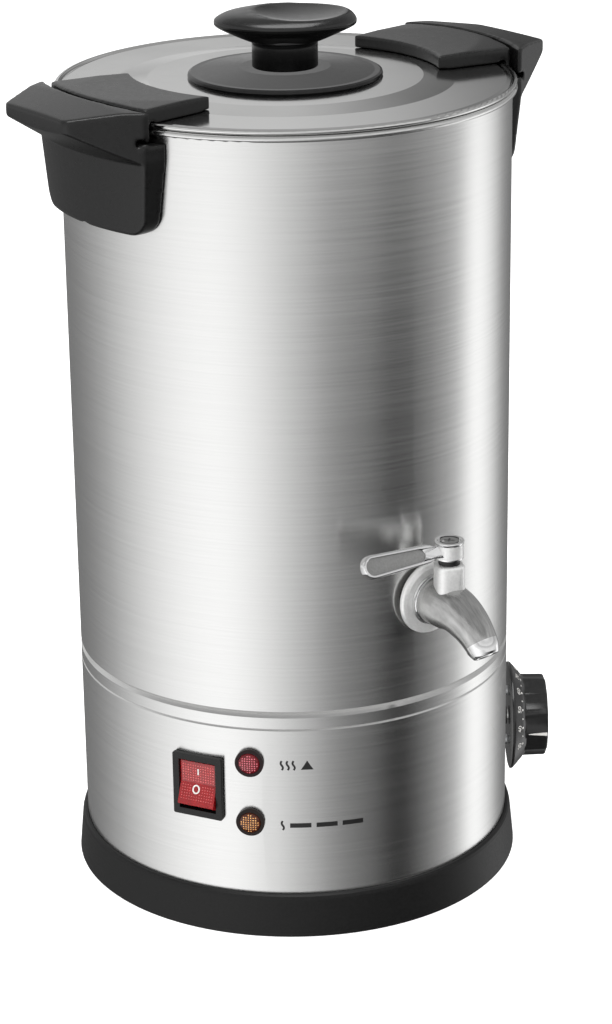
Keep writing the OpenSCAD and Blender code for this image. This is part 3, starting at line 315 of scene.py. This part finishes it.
# ------------------------------------------------------------------ heater
# A cast aluminium plate spreads the heat of a tubular element, whose nickel alloy sheath has
# gone brown-grey. A steel bar and one nut clamp both to the stud under the tank.
cast, shader = finish("aluminium_sand_cast", ("#9c9d9e", "#b9babb"), (0.45, 0.62), 2.5, 0.25, 1.0)
dress(cast, "heater_plate")
sheath, shader = finish("nickel_alloy_oxidised", ("#3d3731", "#5a524a"), (0.4, 0.6), 6.0, 0.02, 0.8)
dress(sheath, "heating_element")
dress(zinc, "heater_clamp", "heater_nut", "cutout_screws", "probe_clip")
bakelite, shader = finish("phenolic_moulded_dull", ("#1b1918", "#262322"), (0.4, 0.55), 2.0, 0.03)
dress(bakelite, "thermal_cutout")

# ------------------------------------------------------------------ thermostat
# A boxed switch behind the dial, with a copper bulb and capillary that feel the tank's floor.
# Drawn copper is warm and bright, with darker patches where it has been handled.
dress(bakelite, "thermostat_body")
copper, shader = finish("copper_drawn", ("#9c5a3c", "#c98562"), (0.25, 0.42), 9.0, 0.01, 1.0)
dress(copper, "thermostat_probe")
dress(zinc, "thermostat_screws")
dress(bright_rod, "thermostat_shaft")

# ------------------------------------------------------------------ terminals and leads
# A glazed ceramic block with brass screws, and leads in soft red silicone sleeving.
ceramic, shader = finish("steatite_glazed", ("#e2dccb", "#ece7d9"), (0.15, 0.3), 7.0, 0.03)
dress(ceramic, "terminal_block")
brass, shader = finish("brass_turned", ("#b58f45", "#cfa95c"), (0.22, 0.35), 1.0, 0.01, 1.0)
dress(brass, "terminal_screws")
silicone, shader = finish("silicone_sleeving", ("#86201c", "#9a2a24"), (0.5, 0.65), 1.2, 0.05)
dress(silicone, "wiring_loom")

# ------------------------------------------------------------------ cable gland
# A moulded nylon gland at the back with its lock nut inside, left without a lead.
gland_black, shader = finish("nylon_moulded_gland", ("#1c1c1c", "#252525"), (0.35, 0.45), 1.0, 0.02)


def ease(name, width, sharp=30, segments=3):
    """Rounds a carried-over node's hard edges, in millimetres; its faces arrive unjoined."""
    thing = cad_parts[name]
    joined = thing.modifiers.new("join", "WELD")
    joined.merge_threshold = 0.01 * MM
    round_edge = thing.modifiers.new("ease", "BEVEL")
    round_edge.width = width * MM
    round_edge.segments = segments
    round_edge.limit_method = "ANGLE"
    round_edge.angle_limit = math.radians(sharp)
    round_edge.harden_normals = True


dress(gland_black, "cable_gland", "gland_locknut")
ease("cable_gland", 0.5)

# ------------------------------------------------------------------ mains switch
# A snap-in rocker: a black nylon housing and a see-through red polycarbonate rocker, whose back is moulded
# into rows of fine prisms, which are coloured a pale red as painted glints. The on and off marks are
# printed in white.
shell_r = 110
switch_deg, switch_z = -61.7, 77.7
rocker_u, rocker_face, rocker_tilt = -3.4, 4.2, math.radians(11)


def wall_at(degrees, z):
    """A place on the wall at an angle from the tap, in millimetres: +X points out and +Z up."""
    return (Matrix.Scale(MM, 4) @ Matrix.Rotation(math.radians(degrees - 90), 4, "Z")
            @ Matrix.Translation((shell_r, 0, z)))


def moulding(name, shells, where, sharp=32):
    """A solid of one or more closed skins, each through rings of points in millimetres."""
    points, faces = [], []
    for rings in shells:
        loop = rings[0] == rings[-1]
        rings = rings[:-1] if loop else rings
        count, first = len(rings[0]), len(points)
        points += [p for ring in rings for p in ring]
        for i in range(len(rings) - (0 if loop else 1)):
            for k in range(count):
                row, next_row = first + i * count, first + (i + 1) % len(rings) * count
                faces.append((row + k, row + (k + 1) % count, next_row + (k + 1) % count, next_row + k))
        if not loop:
            last = first + (len(rings) - 1) * count
            faces += [tuple(range(first, first + count)), tuple(range(last + count - 1, last - 1, -1))]
    mesh = bpy.data.meshes.new(name)
    mesh.from_pydata(points, [], faces)
    mesh.transform(where)
    cleaner = bmesh.new()
    cleaner.from_mesh(mesh)
    bmesh.ops.recalc_face_normals(cleaner, faces=cleaner.faces)
    cleaner.to_mesh(mesh)
    cleaner.free()
    mesh.shade_smooth()
    mesh.set_sharp_from_angle(angle=math.radians(sharp))
    return place(name, mesh)


def peg(s, t, radius, put, height, sides=8):
    """A small domed peg on a surface; put() lays a point (along, up, off) on that surface."""
    return [[put(s + r * math.cos(math.tau * k / sides), t + r * math.sin(math.tau * k / sides), h)
             for k in range(sides)]
            for r, h in ((radius, -0.05), (radius, 0.5 * height), (0.55 * radius, height))]


def stroke(points, width, put, depth=0.07):
    """A raised printed line through points; width is one number or one for each point."""
    rings = []
    for i, (s, t) in enumerate(points):
        before, after = points[max(i - 1, 0)], points[min(i + 1, len(points) - 1)]
        if points[0] == points[-1] and i in (0, len(points) - 1):
            before, after = points[-2], points[1]
        ds, dt = after[0] - before[0], after[1] - before[1]
        half = (width[i] if isinstance(width, list) else width) / 2 / math.hypot(ds, dt)
        a, b = -dt * half, ds * half
        rings.append([put(s + a, t + b, -0.02), put(s - a, t - b, -0.02),
                      put(s - a, t - b, depth), put(s + a, t + b, depth)])
    return rings


def on_rocker(s, t, off):
    """Lays a point on the rocker's upper or lower face."""
    away = abs(t)
    z = away * math.cos(rocker_tilt) - off * math.sin(rocker_tilt)
    x = rocker_face + away * math.sin(rocker_tilt) + off * math.cos(rocker_tilt)
    return (x, s, math.copysign(z, t))


housing, shader = finish("nylon_moulded_glossy", ("#0e0e0e", "#131313"), (0.24, 0.32), 3.0, 0.003)
shader.inputs["Specular IOR Level"].default_value = 0.3
dress(housing, "switch_housing")
ease("switch_housing", 0.3)
black_mouldings.objects.link(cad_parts["switch_housing"])
rocker_red, shader = finish("polycarbonate_red", ("#8a080e", "#9c0f15"), (0.12, 0.2), 4.0, 0.02)
shader.inputs["Subsurface Weight"].default_value = 0.3
shader.inputs["Subsurface Radius"].default_value = (0.002, 0.0004, 0.0003)
shader.inputs["Coat Weight"].default_value = 0.5
dress(rocker_red, "switch_rocker")
ease("switch_rocker", 0.4)

rocker_at = (wall_at(switch_deg, switch_z) @ Matrix.Translation((rocker_u, 0, 0))
             @ Matrix.Rotation(-rocker_tilt, 4, "Y"))
prism_pitch, prism_columns, prism_start = 1.36, 13, 1.2
circle_s, circle_t, circle_half_w, circle_half_h, circle_clear = -0.8, -3.1, 1.65, 1.95, 2.9
prisms = []
for row in range(-7, 7):
    for column in range(prism_columns):
        s = (column - prism_columns // 2) * prism_pitch
        t = prism_start + row * prism_pitch
        on_line = abs(s) < 1.2 and 4.0 < t < 8.4
        on_circle = math.hypot(s - circle_s, t - circle_t) < circle_clear
        if not on_line and not on_circle and abs(t) > 0.5:
            prisms.append(peg(s, t, 0.38 if t > 0 else 0.27, on_rocker, 0.08, 6))
prism_points = moulding("rocker_prisms", prisms, rocker_at)
# The prisms are the rocker's red lightened to pink: painted glints where the moulded points catch light.
prism_painted_glint, shader = finish("polycarbonate_red_prisms_painted_glint", ("#cf5054", "#e57370"), (0.2, 0.3), 1.4, 0.01)
prism_points.data.materials.append(prism_painted_glint)
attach(prism_points, "rocker")

white_ink, shader = finish("ink_pad_printed_white", ("#e4e2de", "#f0eeea"), (0.4, 0.5), 0.8, 0.01)
ring_points = []
for k in range(32):
    turn = math.tau * k / 32
    ring_points.append(
        (circle_s + circle_half_w * math.cos(turn), circle_t + circle_half_h * math.sin(turn)))
marks = moulding("rocker_marks", [
    stroke([(0, 4.6), (0, 6.1), (0, 7.7)], 0.75, on_rocker, 0.1),
    stroke(ring_points + ring_points[:1], 0.7, on_rocker, 0.1)], rocker_at)
marks.data.materials.append(white_ink)
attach(marks, "rocker")

# ------------------------------------------------------------------ pilot lamps
# Two neon lamps pushed into the shell. Each has a tinted polycarbonate rim and a lens whose face is moulded
# into a grid of small points; the points are coloured pale as painted glints, where the real ones catch the
# light.
lamp_deg = -47.8
lens_outline = [
    (0.4, 0.95), (5.3, 0.95), (5.35, 2.0), (5.1, 2.5), (4.6, 2.8), (3.6, 3.05), (2.4, 3.2), (1.2, 3.28),
    (0.3, 3.3)]


def spun(outline, sides=96):
    """Rings of an outline of (radius, height) turned round +X."""
    return [[(h, r * math.cos(math.tau * k / sides), r * math.sin(math.tau * k / sides))
             for k in range(sides)] for r, h in outline]


def on_lens(s, t, off):
    """Lays a point on the lens's face."""
    reach = math.hypot(s, t)
    for (r1, h1), (r0, h0) in zip(lens_outline[2:], lens_outline[3:]):
        if r0 <= reach <= r1 or r0 == lens_outline[-1][0]:
            return (h0 + (h1 - h0) * max(reach - r0, 0) / (r1 - r0) + off, s, t)


grid_pitch, grid_reach = 1.2, 4.55
grid = [i * grid_pitch for i in (-3.5, -2.5, -1.5, -0.5, 0.5, 1.5, 2.5, 3.5)]
for name, z, lens_tones, rim_tones, glint_painted_tones, slot_name in (
        ("heat_lamp", 93.4, ("#5a0710", "#6a0b16"), ("#120304", "#1a0506"), ("#d85868", "#ee9098"),
         "lamp_red"),
        ("warm_lamp", 61.6, ("#3e1504", "#4c1d06"), ("#0f0603", "#170a05"), ("#e89a50", "#ffca88"),
         "lamp_amber")):
    rim_plastic, shader = finish(f"polycarbonate_tinted_{name}", rim_tones, (0.1, 0.18), 3.0, 0.01)
    shader.inputs["Specular IOR Level"].default_value = 0.22
    dress(rim_plastic, f"{name}_body")
    ease(f"{name}_body", 0.7)
    lens = moulding(f"{name}_window", [spun(lens_outline, 64)], wall_at(lamp_deg, z))
    lens_plastic, shader = finish(f"polycarbonate_lens_{name}", lens_tones, (0.12, 0.2), 2.0, 0.02)
    shader.inputs["Subsurface Weight"].default_value = 0.2
    shader.inputs["Subsurface Radius"].default_value = (0.002, 0.0006, 0.0003)
    lens.data.materials.append(lens_plastic)
    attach(lens, "root")
    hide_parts(f"{name}_lens")
    points = moulding(f"{name}_points", [
        peg(s, t, 0.34, on_lens, 0.3) for s in grid for t in grid if math.hypot(s, t) < grid_reach],
        wall_at(lamp_deg, z))
    # The points' pale tones are painted glints: the lens's own red or amber, lightened where light would
    # catch it.
    glint_painted_plastic, shader = finish(f"polycarbonate_points_painted_glint_{name}", glint_painted_tones, (0.15, 0.25), 0.8, 0.01)
    points.data.materials.append(glint_painted_plastic)
    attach(points, "root")

# ------------------------------------------------------------------ lamp signs
# Signs printed in black beside the lamps: rising warmth and an arrow head for heating up, and
# one wave with a long level bar for holding warm. They are wrapped round the shell.


def on_shell(s, t, off):
    """Lays a point on the shell, which curves away to both sides."""
    turn = s / shell_r
    return ((shell_r + off) * math.cos(turn) - shell_r, (shell_r + off) * math.sin(turn), t)


def wave(s):
    """One rising wave, 4.8 mm tall."""
    return [(s + 0.55 * math.sin(math.tau * k / 14), -2.4 + 4.8 * k / 14) for k in range(15)]


sign_deg = -39.6
black_ink, shader = finish("ink_screen_printed_black", ("#101010", "#181818"), (0.35, 0.45), 0.8, 0.01)
for name, z, strokes in (
        ("heat_sign", 92.2, [(wave(0), 1.0), (wave(2.9), 1.0), (wave(5.8), 1.0),
                             ([(12.4, -2.3), (12.4, 0), (12.4, 2.5)], [6.2, 3.1, 0.1])]),
        ("hold_sign", 59.8, [(wave(0), 1.0)] + [
            ([(start + 1.5 * k, 0) for k in range(8)], 2.4) for start in (3.6, 16.6, 29.6)])):
    sign = moulding(name, [stroke(points, width, on_shell, 0.05) for points, width in strokes],
                    wall_at(sign_deg, z))
    sign.data.materials.append(black_ink)
    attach(sign, "root")

# ------------------------------------------------------------------ temperature dial
# A moulded phenolic knob: a flat black edge, a rounded shoulder, a cone that carries printed
# numbers, and a grip with twelve hollow flutes, of which one ridge carries a white pointer.
dial_deg, dial_z = 55, 67
dial_at = wall_at(dial_deg, dial_z)
cone_foot, cone_top = (27.3, 3.6), (22.3, 8.0)
flutes, flute_steps, flute_phase = 12, 12, -5.4
dial_levels = [
    (6.0, 1.6, 0), (27.3, 1.6, 0), (27.9, 1.8, 0), (28.0, 2.2, 0), (27.95, 2.8, 0), (27.7, 3.2, 0),
    (27.3, 3.6, 0), (26.2, 4.57, 0), (24.8, 5.8, 0), (23.4, 7.03, 0), (22.3, 8.0, 0), (21.7, 8.35, 0),
    (21.35, 8.8, 0.35), (21.3, 9.6, 1), (21.1, 19.3, 1), (20.9, 20.1, 1), (20.3, 20.7, 0.9),
    (19.2, 21.0, 0.6), (17.6, 20.9, 0.2), (14, 20.6, 0), (7, 20.4, 0), (0.8, 20.35, 0)]
dial_rings = []
for r, h, share in dial_levels:
    ring = []
    for k in range(flutes * flute_steps):
        hollow = 1.1 * share * math.sin(math.pi * (k % flute_steps) / flute_steps)
        around = math.radians(flute_phase + 360 * k / flutes / flute_steps)
        ring.append((h, -(r - hollow) * math.cos(around), (r - hollow) * math.sin(around)))
    dial_rings.append(ring)
dial = moulding("dial_moulding", [dial_rings], dial_at, 26)
phenolic, shader = finish("phenolic_moulded_dial", ("#141414", "#191919"), (0.2, 0.26), 2.5, 0.008)
dial.data.materials.append(phenolic)
black_mouldings.objects.link(dial)
for unmirrored in (dial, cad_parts["thermostat_shaft"]):
    unmirrored.visible_glossy = False
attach(dial, "dial")
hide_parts("dial_knob")

cone_run = math.hypot(cone_foot[0] - cone_top[0], cone_top[1] - cone_foot[1])
cone_out = ((cone_foot[0] - cone_top[0]) / cone_run, (cone_foot[1] - cone_top[1]) / cone_run)


def on_cone(around):
    """A function that lays points on the dial's cone, round an angle from its left side."""
    def put(s, t, off):
        r = cone_top[0] + cone_out[0] * t - cone_out[1] * off
        h = cone_top[1] + cone_out[1] * t + cone_out[0] * off
        turn = math.radians(around) + s / 24.5
        return (h, -r * math.cos(turn), r * math.sin(turn))
    return put


number_step, number_first, number_size, number_height = 23.2, -16.8, 3.7, 3.4
printed, dots = bmesh.new(), []
for i in range(9):
    around = number_first + number_step * i
    dots.append(peg(0, 0.9, 0.62, on_cone(around), 0.07, 12))
    if i < 8:
        dots.append(peg(0, 0.9, 0.45, on_cone(around + number_step / 2), 0.07, 12))
    words = bpy.data.curves.new("number", "FONT")
    words.body, words.size, words.extrude = str(30 + 10 * i), number_size, 0.04
    words.align_x, words.align_y = "CENTER", "CENTER"
    sample = bpy.data.objects.new("number", words)
    outline = bpy.data.meshes.new_from_object(sample)
    for vertex in outline.vertices:
        x, y, z = vertex.co
        vertex.co = on_cone(around)(x, number_height + y, z + 0.03)
    printed.from_mesh(outline)
    bpy.data.objects.remove(sample)
    bpy.data.curves.remove(words)
    bpy.data.meshes.remove(outline)
mesh = bpy.data.meshes.new("dial_numbers")
printed.to_mesh(mesh)
printed.free()
mesh.transform(dial_at)
numbers = place("dial_numbers", mesh)


def on_grip(s, t, off):
    """Lays a point on the dial's grip along its pointer ridge."""
    turn = math.radians(flute_phase) + t / 21.2
    return (s, -(21.2 + off) * math.cos(turn), (21.2 + off) * math.sin(turn))


pointer = moulding("dial_pointer", dots + [
    stroke([(10.6, 0), (13.5, 0), (17, 0), (20.3, 0)], [0.25, 0.9, 1.5, 1.9], on_grip, 0.1)], dial_at)
for piece in (numbers, pointer):
    piece.data.materials.append(white_ink)
    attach(piece, "dial")

# ------------------------------------------------------------------ tap flange and seals
# A pressed rosette with a bevelled rim, on a silicone gasket; a second gasket and a hexagonal
# nut hold the tap from inside the tank. The rosette's flat is satin-blasted and plated.
satin, shader = finish("nickel_satin_plated", ("#dcdcdb", "#e6e6e5"), (0.3, 0.38), 1.2, 0.003, 0.5)
polished, shader = finish("chrome_polished", ("#dcdcdc", "#e6e6e6"), (0.05, 0.09), 12.0, 0.01, 1.0)
dress(satin, "tap_rosette")
ease("tap_rosette", 0.35, 20)
gasket, shader = finish("silicone_moulded", ("#26211f", "#302b28"), (0.5, 0.65), 1.5, 0.03)
dress(gasket, "tap_outer_gasket", "tap_inner_gasket")
dress(zinc, "tap_nut")

# ------------------------------------------------------------------ tap body
# A forged brass horn that bends down and tapers to its mouth. Its top is brushed lengthways to
# a satin; the collar rings, the lip and the facet underneath are polished and chromed.
tap_z = 172
tap_at = wall_at(0, tap_z)
stem_u = 17
bend_u, bend_r, bend_end = 17, 32, math.radians(55)
barrel_r, bend_end_r, tip_r, tip_len, bore_r = 11.8, 7.6, 6.4, 3.5, 4.7
horn_sides, bend_steps, ridge_deg, ridge_wide = 96, 22, 222, 5.0


def horn_ring(along, radius, ridge=0.0):
    """A ring round the spout's middle line, along it from 0 to 1 over the bend and then on."""
    turn = bend_end * min(max(along, 0), 1)
    ahead = (along - 1) * tip_len if along > 1 else (along * 10.7 if along < 0 else 0)
    x = bend_u + bend_r * math.sin(turn) + ahead * math.cos(turn)
    z = -bend_r * (1 - math.cos(turn)) - ahead * math.sin(turn)
    ring = []
    for k in range(horn_sides):
        a = 360 * k / horn_sides
        bump = sum(math.exp(-((a - side) / ridge_wide) ** 2) for side in (ridge_deg, 540 - ridge_deg))
        r = radius + ridge * bump
        c, s = math.cos(math.radians(a)), math.sin(math.radians(a))
        ring.append((x + r * s * math.sin(turn), r * c, z + r * s * math.cos(turn)))
    return ring


horn_rings = [horn_ring(-1, barrel_r), horn_ring(-0.5, barrel_r)]
for i in range(bend_steps + 1):
    along = i / bend_steps
    horn_rings.append(horn_ring(
        along, barrel_r + (bend_end_r - barrel_r) * along, 0.55 * min(max((along - 0.1) * 2.2, 0), 1)))
lip_from = len(horn_rings) - 3
horn_rings += [horn_ring(1.35, 7.2, 0.35), horn_ring(1.7, 6.8, 0.15), horn_ring(2.0, tip_r),
               horn_ring(2.08, 6.0), horn_ring(2.05, 5.2), horn_ring(1.9, 4.8)]
horn_rings += [horn_ring(along, bore_r) for along in (1.5, 1.0, 0.8, 0.6, 0.4)]
tail_outline = [(4.6, -17), (7.6, -17), (8, -16.6), (8, 5), (4.6, 5), (4.6, -17)]
collar_outline = [
    (8, 4.4), (12.3, 4.4), (12.75, 4.7), (12.75, 5.5), (12.2, 5.9), (11.6, 6.0), (11.6, 6.4),
    (12.3, 6.5), (12.5, 6.8), (12.3, 7.2), (11.7, 7.3), (8, 7.3), (8, 4.4)]
neck_rings = []
for z, half in ((2, 7.2), (8, 7.1), (14, 7.0), (20.6, 6.9), (21.4, 6.75), (21.8, 6.4), (21.95, 5.9)):
    ring = []
    for k in range(72):
        a = math.tau * k / 72
        c, s = math.cos(a), math.sin(a)
        x = half * math.copysign(abs(c) ** 0.62, c)
        y = half * math.copysign(abs(s) ** 0.62, s)
        lean = math.radians(-22)
        ring.append((stem_u + x * math.cos(lean) - y * math.sin(lean),
                     x * math.sin(lean) + y * math.cos(lean), z))
    neck_rings.append(ring)
spout = moulding("tap_spout", [horn_rings, spun(tail_outline, 64), spun(collar_outline), neck_rings],
                 tap_at, 40)
horn_satin, shader = finish("brass_forged_satin_nickel", ("#b0b0af", "#c8c8c7"), (0.2, 0.26), 1.2,
                            0.0008, 1.0, (1, 0.12, 0.2))
for material in (horn_satin, polished, satin):
    spout.data.materials.append(material)
horn_faces = (len(horn_rings) - 1) * horn_sides
for face in spout.data.polygons:
    i, k = face.index // horn_sides, face.index % horn_sides
    underneath = ridge_deg < 360 * (k + 0.5) / horn_sides < 540 - ridge_deg and i > 4
    if face.index >= horn_faces + 2 + 64 * 5:
        face.material_index = 1 if face.index < horn_faces + 2 + 64 * 5 + 96 * 12 else 2
    elif face.index >= horn_faces or i >= lip_from or underneath:
        face.material_index = 1
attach(spout, "root")
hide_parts("tap_body")

# ------------------------------------------------------------------ tap valve
# A chromed ball between two PTFE seats, turned by a steel stem that passes a black washer.
ptfe, shader = finish("ptfe_turned", ("#e4e4e0", "#eeeeea"), (0.35, 0.5), 2.0, 0.01)
dress(ptfe, "tap_seats")
dress(polished, "tap_ball")
dress(bright_rod, "tap_stem")
nylon_washer, shader = finish("nylon_turned_black", ("#0c0c0c", "#141414"), (0.4, 0.5), 1.0, 0.02)
dress(nylon_washer, "stem_washer")

# ------------------------------------------------------------------ tap lever
# A cast zinc lever, plated: a polished rim stands round a satin panel, the paddle narrows to a
# short waist, and the hub's polished ring holds a cross-recessed screw.
hub_z, hub_h, blade_half_t, blade_tilt = 24.7, 9.4, 2.1, math.radians(25)
paddle_end, paddle_start, hub_mid = -46.5, -13.0, 4.7


def paddle(inset, x, panel=False):
    """An outline of the blade, drawn in; the panel's outline stops before the waist."""
    ring, steps = [], 24
    right = -14.2 - inset if panel else -3.0
    left = paddle_end
    for side in (1, -1):
        span = []
        for i in range(steps + 1):
            y = right + (left - right) * i / steps
            if panel:
                half = 4.45 + (y - right) / (left - right) * 1.15 - inset
                edge = min((right - y) / 3.6, 1)
                half *= math.sqrt(max(1 - (1 - edge) ** 2, 0.02))
            else:
                wide = 4.6 + (paddle_start - y) / (paddle_start - paddle_end) * 1.1
                waist = 2.7 + 1.9 * max((y + 8.5) / 5.5, 0) ** 2
                blend = min(max((-8.5 - y) / 5.5, 0), 1)
                half = waist + (wide - waist) * blend * blend * (3 - 2 * blend) - inset
            middle = hub_mid + 1.6 * (-y / 46.5)
            span.append((x, y, middle + side * half))
        ring += span if side > 0 else span[::-1]
        if side > 0:
            half = 5.6 - inset
            for k in range(1, 12):
                a = math.pi / 2 + math.pi * k / 12
                ring.append((x, left + 0.94 * half * math.cos(a), hub_mid + 1.6 + half * math.sin(a)))
    return ring


blade_rings = [
    paddle(1.0, -blade_half_t), paddle(0.35, -blade_half_t + 0.15), paddle(0, -blade_half_t + 0.7),
    paddle(0, blade_half_t - 0.8), paddle(0.25, blade_half_t - 0.25), paddle(0.7, blade_half_t),
    paddle(1.3, blade_half_t, True), paddle(1.55, blade_half_t - 0.15, True),
    paddle(1.65, blade_half_t - 0.75, True), paddle(1.9, blade_half_t - 0.85, True)]
lever_at = tap_at @ Matrix.Translation((stem_u, 0, hub_z))
tilted = (Matrix.Translation((0, 0, hub_h / 2)) @ Matrix.Rotation(-blade_tilt, 4, "Y")
          @ Matrix.Translation((0, 0, -hub_h / 2)))
blade_rings = [[tuple(tilted @ Vector(p)) for p in ring] for ring in blade_rings]
hub_outline = [
    (3.1, 0), (6.2, 0), (6.8, 0.4), (6.95, 1.1), (6.8, 7.6), (7.15, 8.2), (7.25, 8.8), (7.0, 9.25),
    (6.5, 9.4), (5.9, 9.35), (5.6, 9.1), (5.5, 7.95), (3.1, 7.95), (3.1, 0)]
hub_rings = [[(-z, y, x) for x, y, z in ring] for ring in spun(hub_outline)]
lever = moulding("tap_handle_lever", [blade_rings, hub_rings], lever_at, 30)
panel_satin, shader = finish("zinc_cast_satin_plated", ("#8f8f8e", "#9b9b9a"), (0.32, 0.4), 1.2,
                             0.003, 0.85)
for material in (polished, panel_satin, satin):
    lever.data.materials.append(material)
ring_size = len(blade_rings[0])
blade_faces = ring_size * (len(blade_rings) - 1)
for face in lever.data.polygons:
    row = face.index // ring_size if face.index < blade_faces else 0
    on_panel = row >= 8 or face.index == blade_faces + 1
    hub_row = (face.index - blade_faces - 2) // 96 if face.index >= blade_faces + 2 else -1
    face.material_index = 1 if on_panel else 2 if hub_row == 3 else 0
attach(lever, "tap_handle")
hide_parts("tap_lever")
dress(panel_satin, "lever_screw")
ease("lever_screw", 0.15)

# ------------------------------------------------------------------ lid pan and seal
# Pressed and polished stainless steel, rolled at its edge; a skirt below holds a pale silicone
# seal. Hand polishing leaves it a mirror that waves a little.
mirror, shader = finish("stainless_polished", ("#d6d6d5", "#dcdcdb"), (0.1, 0.14), 26.0, 0.004, 1.0)
dress(mirror, "lid_pan")
pale_silicone, shader = finish("silicone_moulded_pale", ("#dcdcd6", "#e8e8e2"), (0.45, 0.6), 1.5, 0.03)
dress(pale_silicone, "lid_seal")

# ------------------------------------------------------------------ lid disc and knob
# A phenolic disc and a knob on a stout stem, held by one screw from inside. The knob's oval
# pad is dished for the palm, which leaves a soft raised edge to the left and behind.
disc_plastic, shader = finish("phenolic_moulded_glossy", ("#141414", "#191919"), (0.16, 0.22), 3.0, 0.008)
shader.inputs["Specular IOR Level"].default_value = 0.2
dress(disc_plastic, "lid_disc")
black_mouldings.objects.link(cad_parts["lid_disc"])
dress(zinc, "knob_screw")
knob_turn = math.radians(-36)
stem_z, grip_z = 413.53, 427.01
dish_r, dish_low, dish_along, dish_back = 90, 10.4, 9, -3
knob_at = Matrix.Scale(MM, 4) @ Matrix.Rotation(knob_turn, 4, "Z")
knob_levels = [
    (0.0, 17.6, 17.0, 0, 0), (0.2, 19.6, 17.6, 0, 0), (3.4, 27.6, 19.2, 0, 0), (6.4, 33.5, 23.0, 0.3, 0),
    (8.2, 34.5, 24.0, 0.4, 0), (10.2, 33.8, 23.3, 0.6, 0.3), (12.6, 29.7, 20.2, 2.2, 1.4),
    (14.2, 21.4, 14.4, 5.5, 3.5)]


def between(levels, steps):
    """Rows of numbers with smooth rows put in between them."""
    rows = []
    for i in range(len(levels) - 1):
        a, b, c, d = (levels[min(max(j, 0), len(levels) - 1)] for j in (i - 1, i, i + 1, i + 2))
        for k in range(steps):
            t = k / steps
            rows.append(tuple(
                q + 0.5 * t * (r - p + t * (2 * p - 5 * q + 4 * r - s + t * (3 * (q - r) + s - p)))
                for p, q, r, s in zip(a, b, c, d)))
    return rows + [levels[-1]]


pad_rows = between(knob_levels, 4)
pad_top, top_len, top_w, top_along, top_back = knob_levels[-1]
for share in (0.9, 0.75, 0.6, 0.45, 0.3, 0.15, 0.02):
    pad_rows.append((pad_top + 0.1 * (1 - share), top_len * share, top_w * share, top_along, top_back))
pad_rings = []
for h, half_len, half_w, along, back in pad_rows:
    ring = []
    for k in range(96):
        a = math.tau * k / 96
        x, y = along + half_len * math.cos(a), back + half_w * math.sin(a)
        dish = dish_low + dish_r - math.sqrt(
            dish_r ** 2 - (x - dish_along) ** 2 - (y - dish_back) ** 2)
        top = min(h, dish) if h > 8 else h
        ring.append((x, y, grip_z + top))
    pad_rings.append(ring)
stem_rings = [
    [(r * math.cos(math.tau * k / 96), r * math.sin(math.tau * k / 96), z) for k in range(96)]
    for r, z in ((15.6, stem_z), (16, stem_z + 0.4), (16, grip_z - 2.6), (16.2, grip_z - 1.5),
                 (16.8, grip_z - 0.6), (18, grip_z + 0.1), (18, grip_z + 2))]
knob = moulding("knob_moulding", [stem_rings, pad_rings], knob_at, 50)
knob_plastic, shader = finish("phenolic_moulded_knob", ("#0c0c0c", "#101010"), (0.2, 0.26), 3.0, 0.008)
knob.data.materials.append(knob_plastic)
black_mouldings.objects.link(knob)
for unmirrored in (knob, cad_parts["knob_screw"]):
    unmirrored.visible_glossy = False
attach(knob, "lid")
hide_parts("lid_knob")

# ------------------------------------------------------------------ grips and handles
# Phenolic mouldings: the lid's halves are screwed to the pan, and the pot's halves hang on
# spot-welded brackets. Their broad tops are satin. A fine skin is drawn over each and smoothed
# until its edges are rounded as the mould leaves them.
handle_plastic, shader = finish("phenolic_moulded_satin", ("#101010", "#141414"), (0.27, 0.32), 2.2, 0.0012)
shader.inputs["Specular IOR Level"].default_value = 0.34
dress(handle_plastic, "left_lid_grip", "right_lid_grip", "left_handle", "right_handle")
skin_step, skin_rounds = 0.6, 24
for name in ("left_lid_grip", "right_lid_grip", "left_handle", "right_handle"):
    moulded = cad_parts[name]
    black_mouldings.objects.link(moulded)
    joined = moulded.modifiers.new("join", "WELD")
    joined.merge_threshold = 0.01 * MM
    skin = moulded.modifiers.new("skin", "REMESH")
    skin.mode, skin.voxel_size, skin.use_smooth_shade = "VOXEL", skin_step * MM, True
    softened = moulded.modifiers.new("soften", "SMOOTH")
    softened.factor, softened.iterations = 0.5, skin_rounds
dress(zinc, "lid_grip_screws", "handle_brackets", "handle_screws")
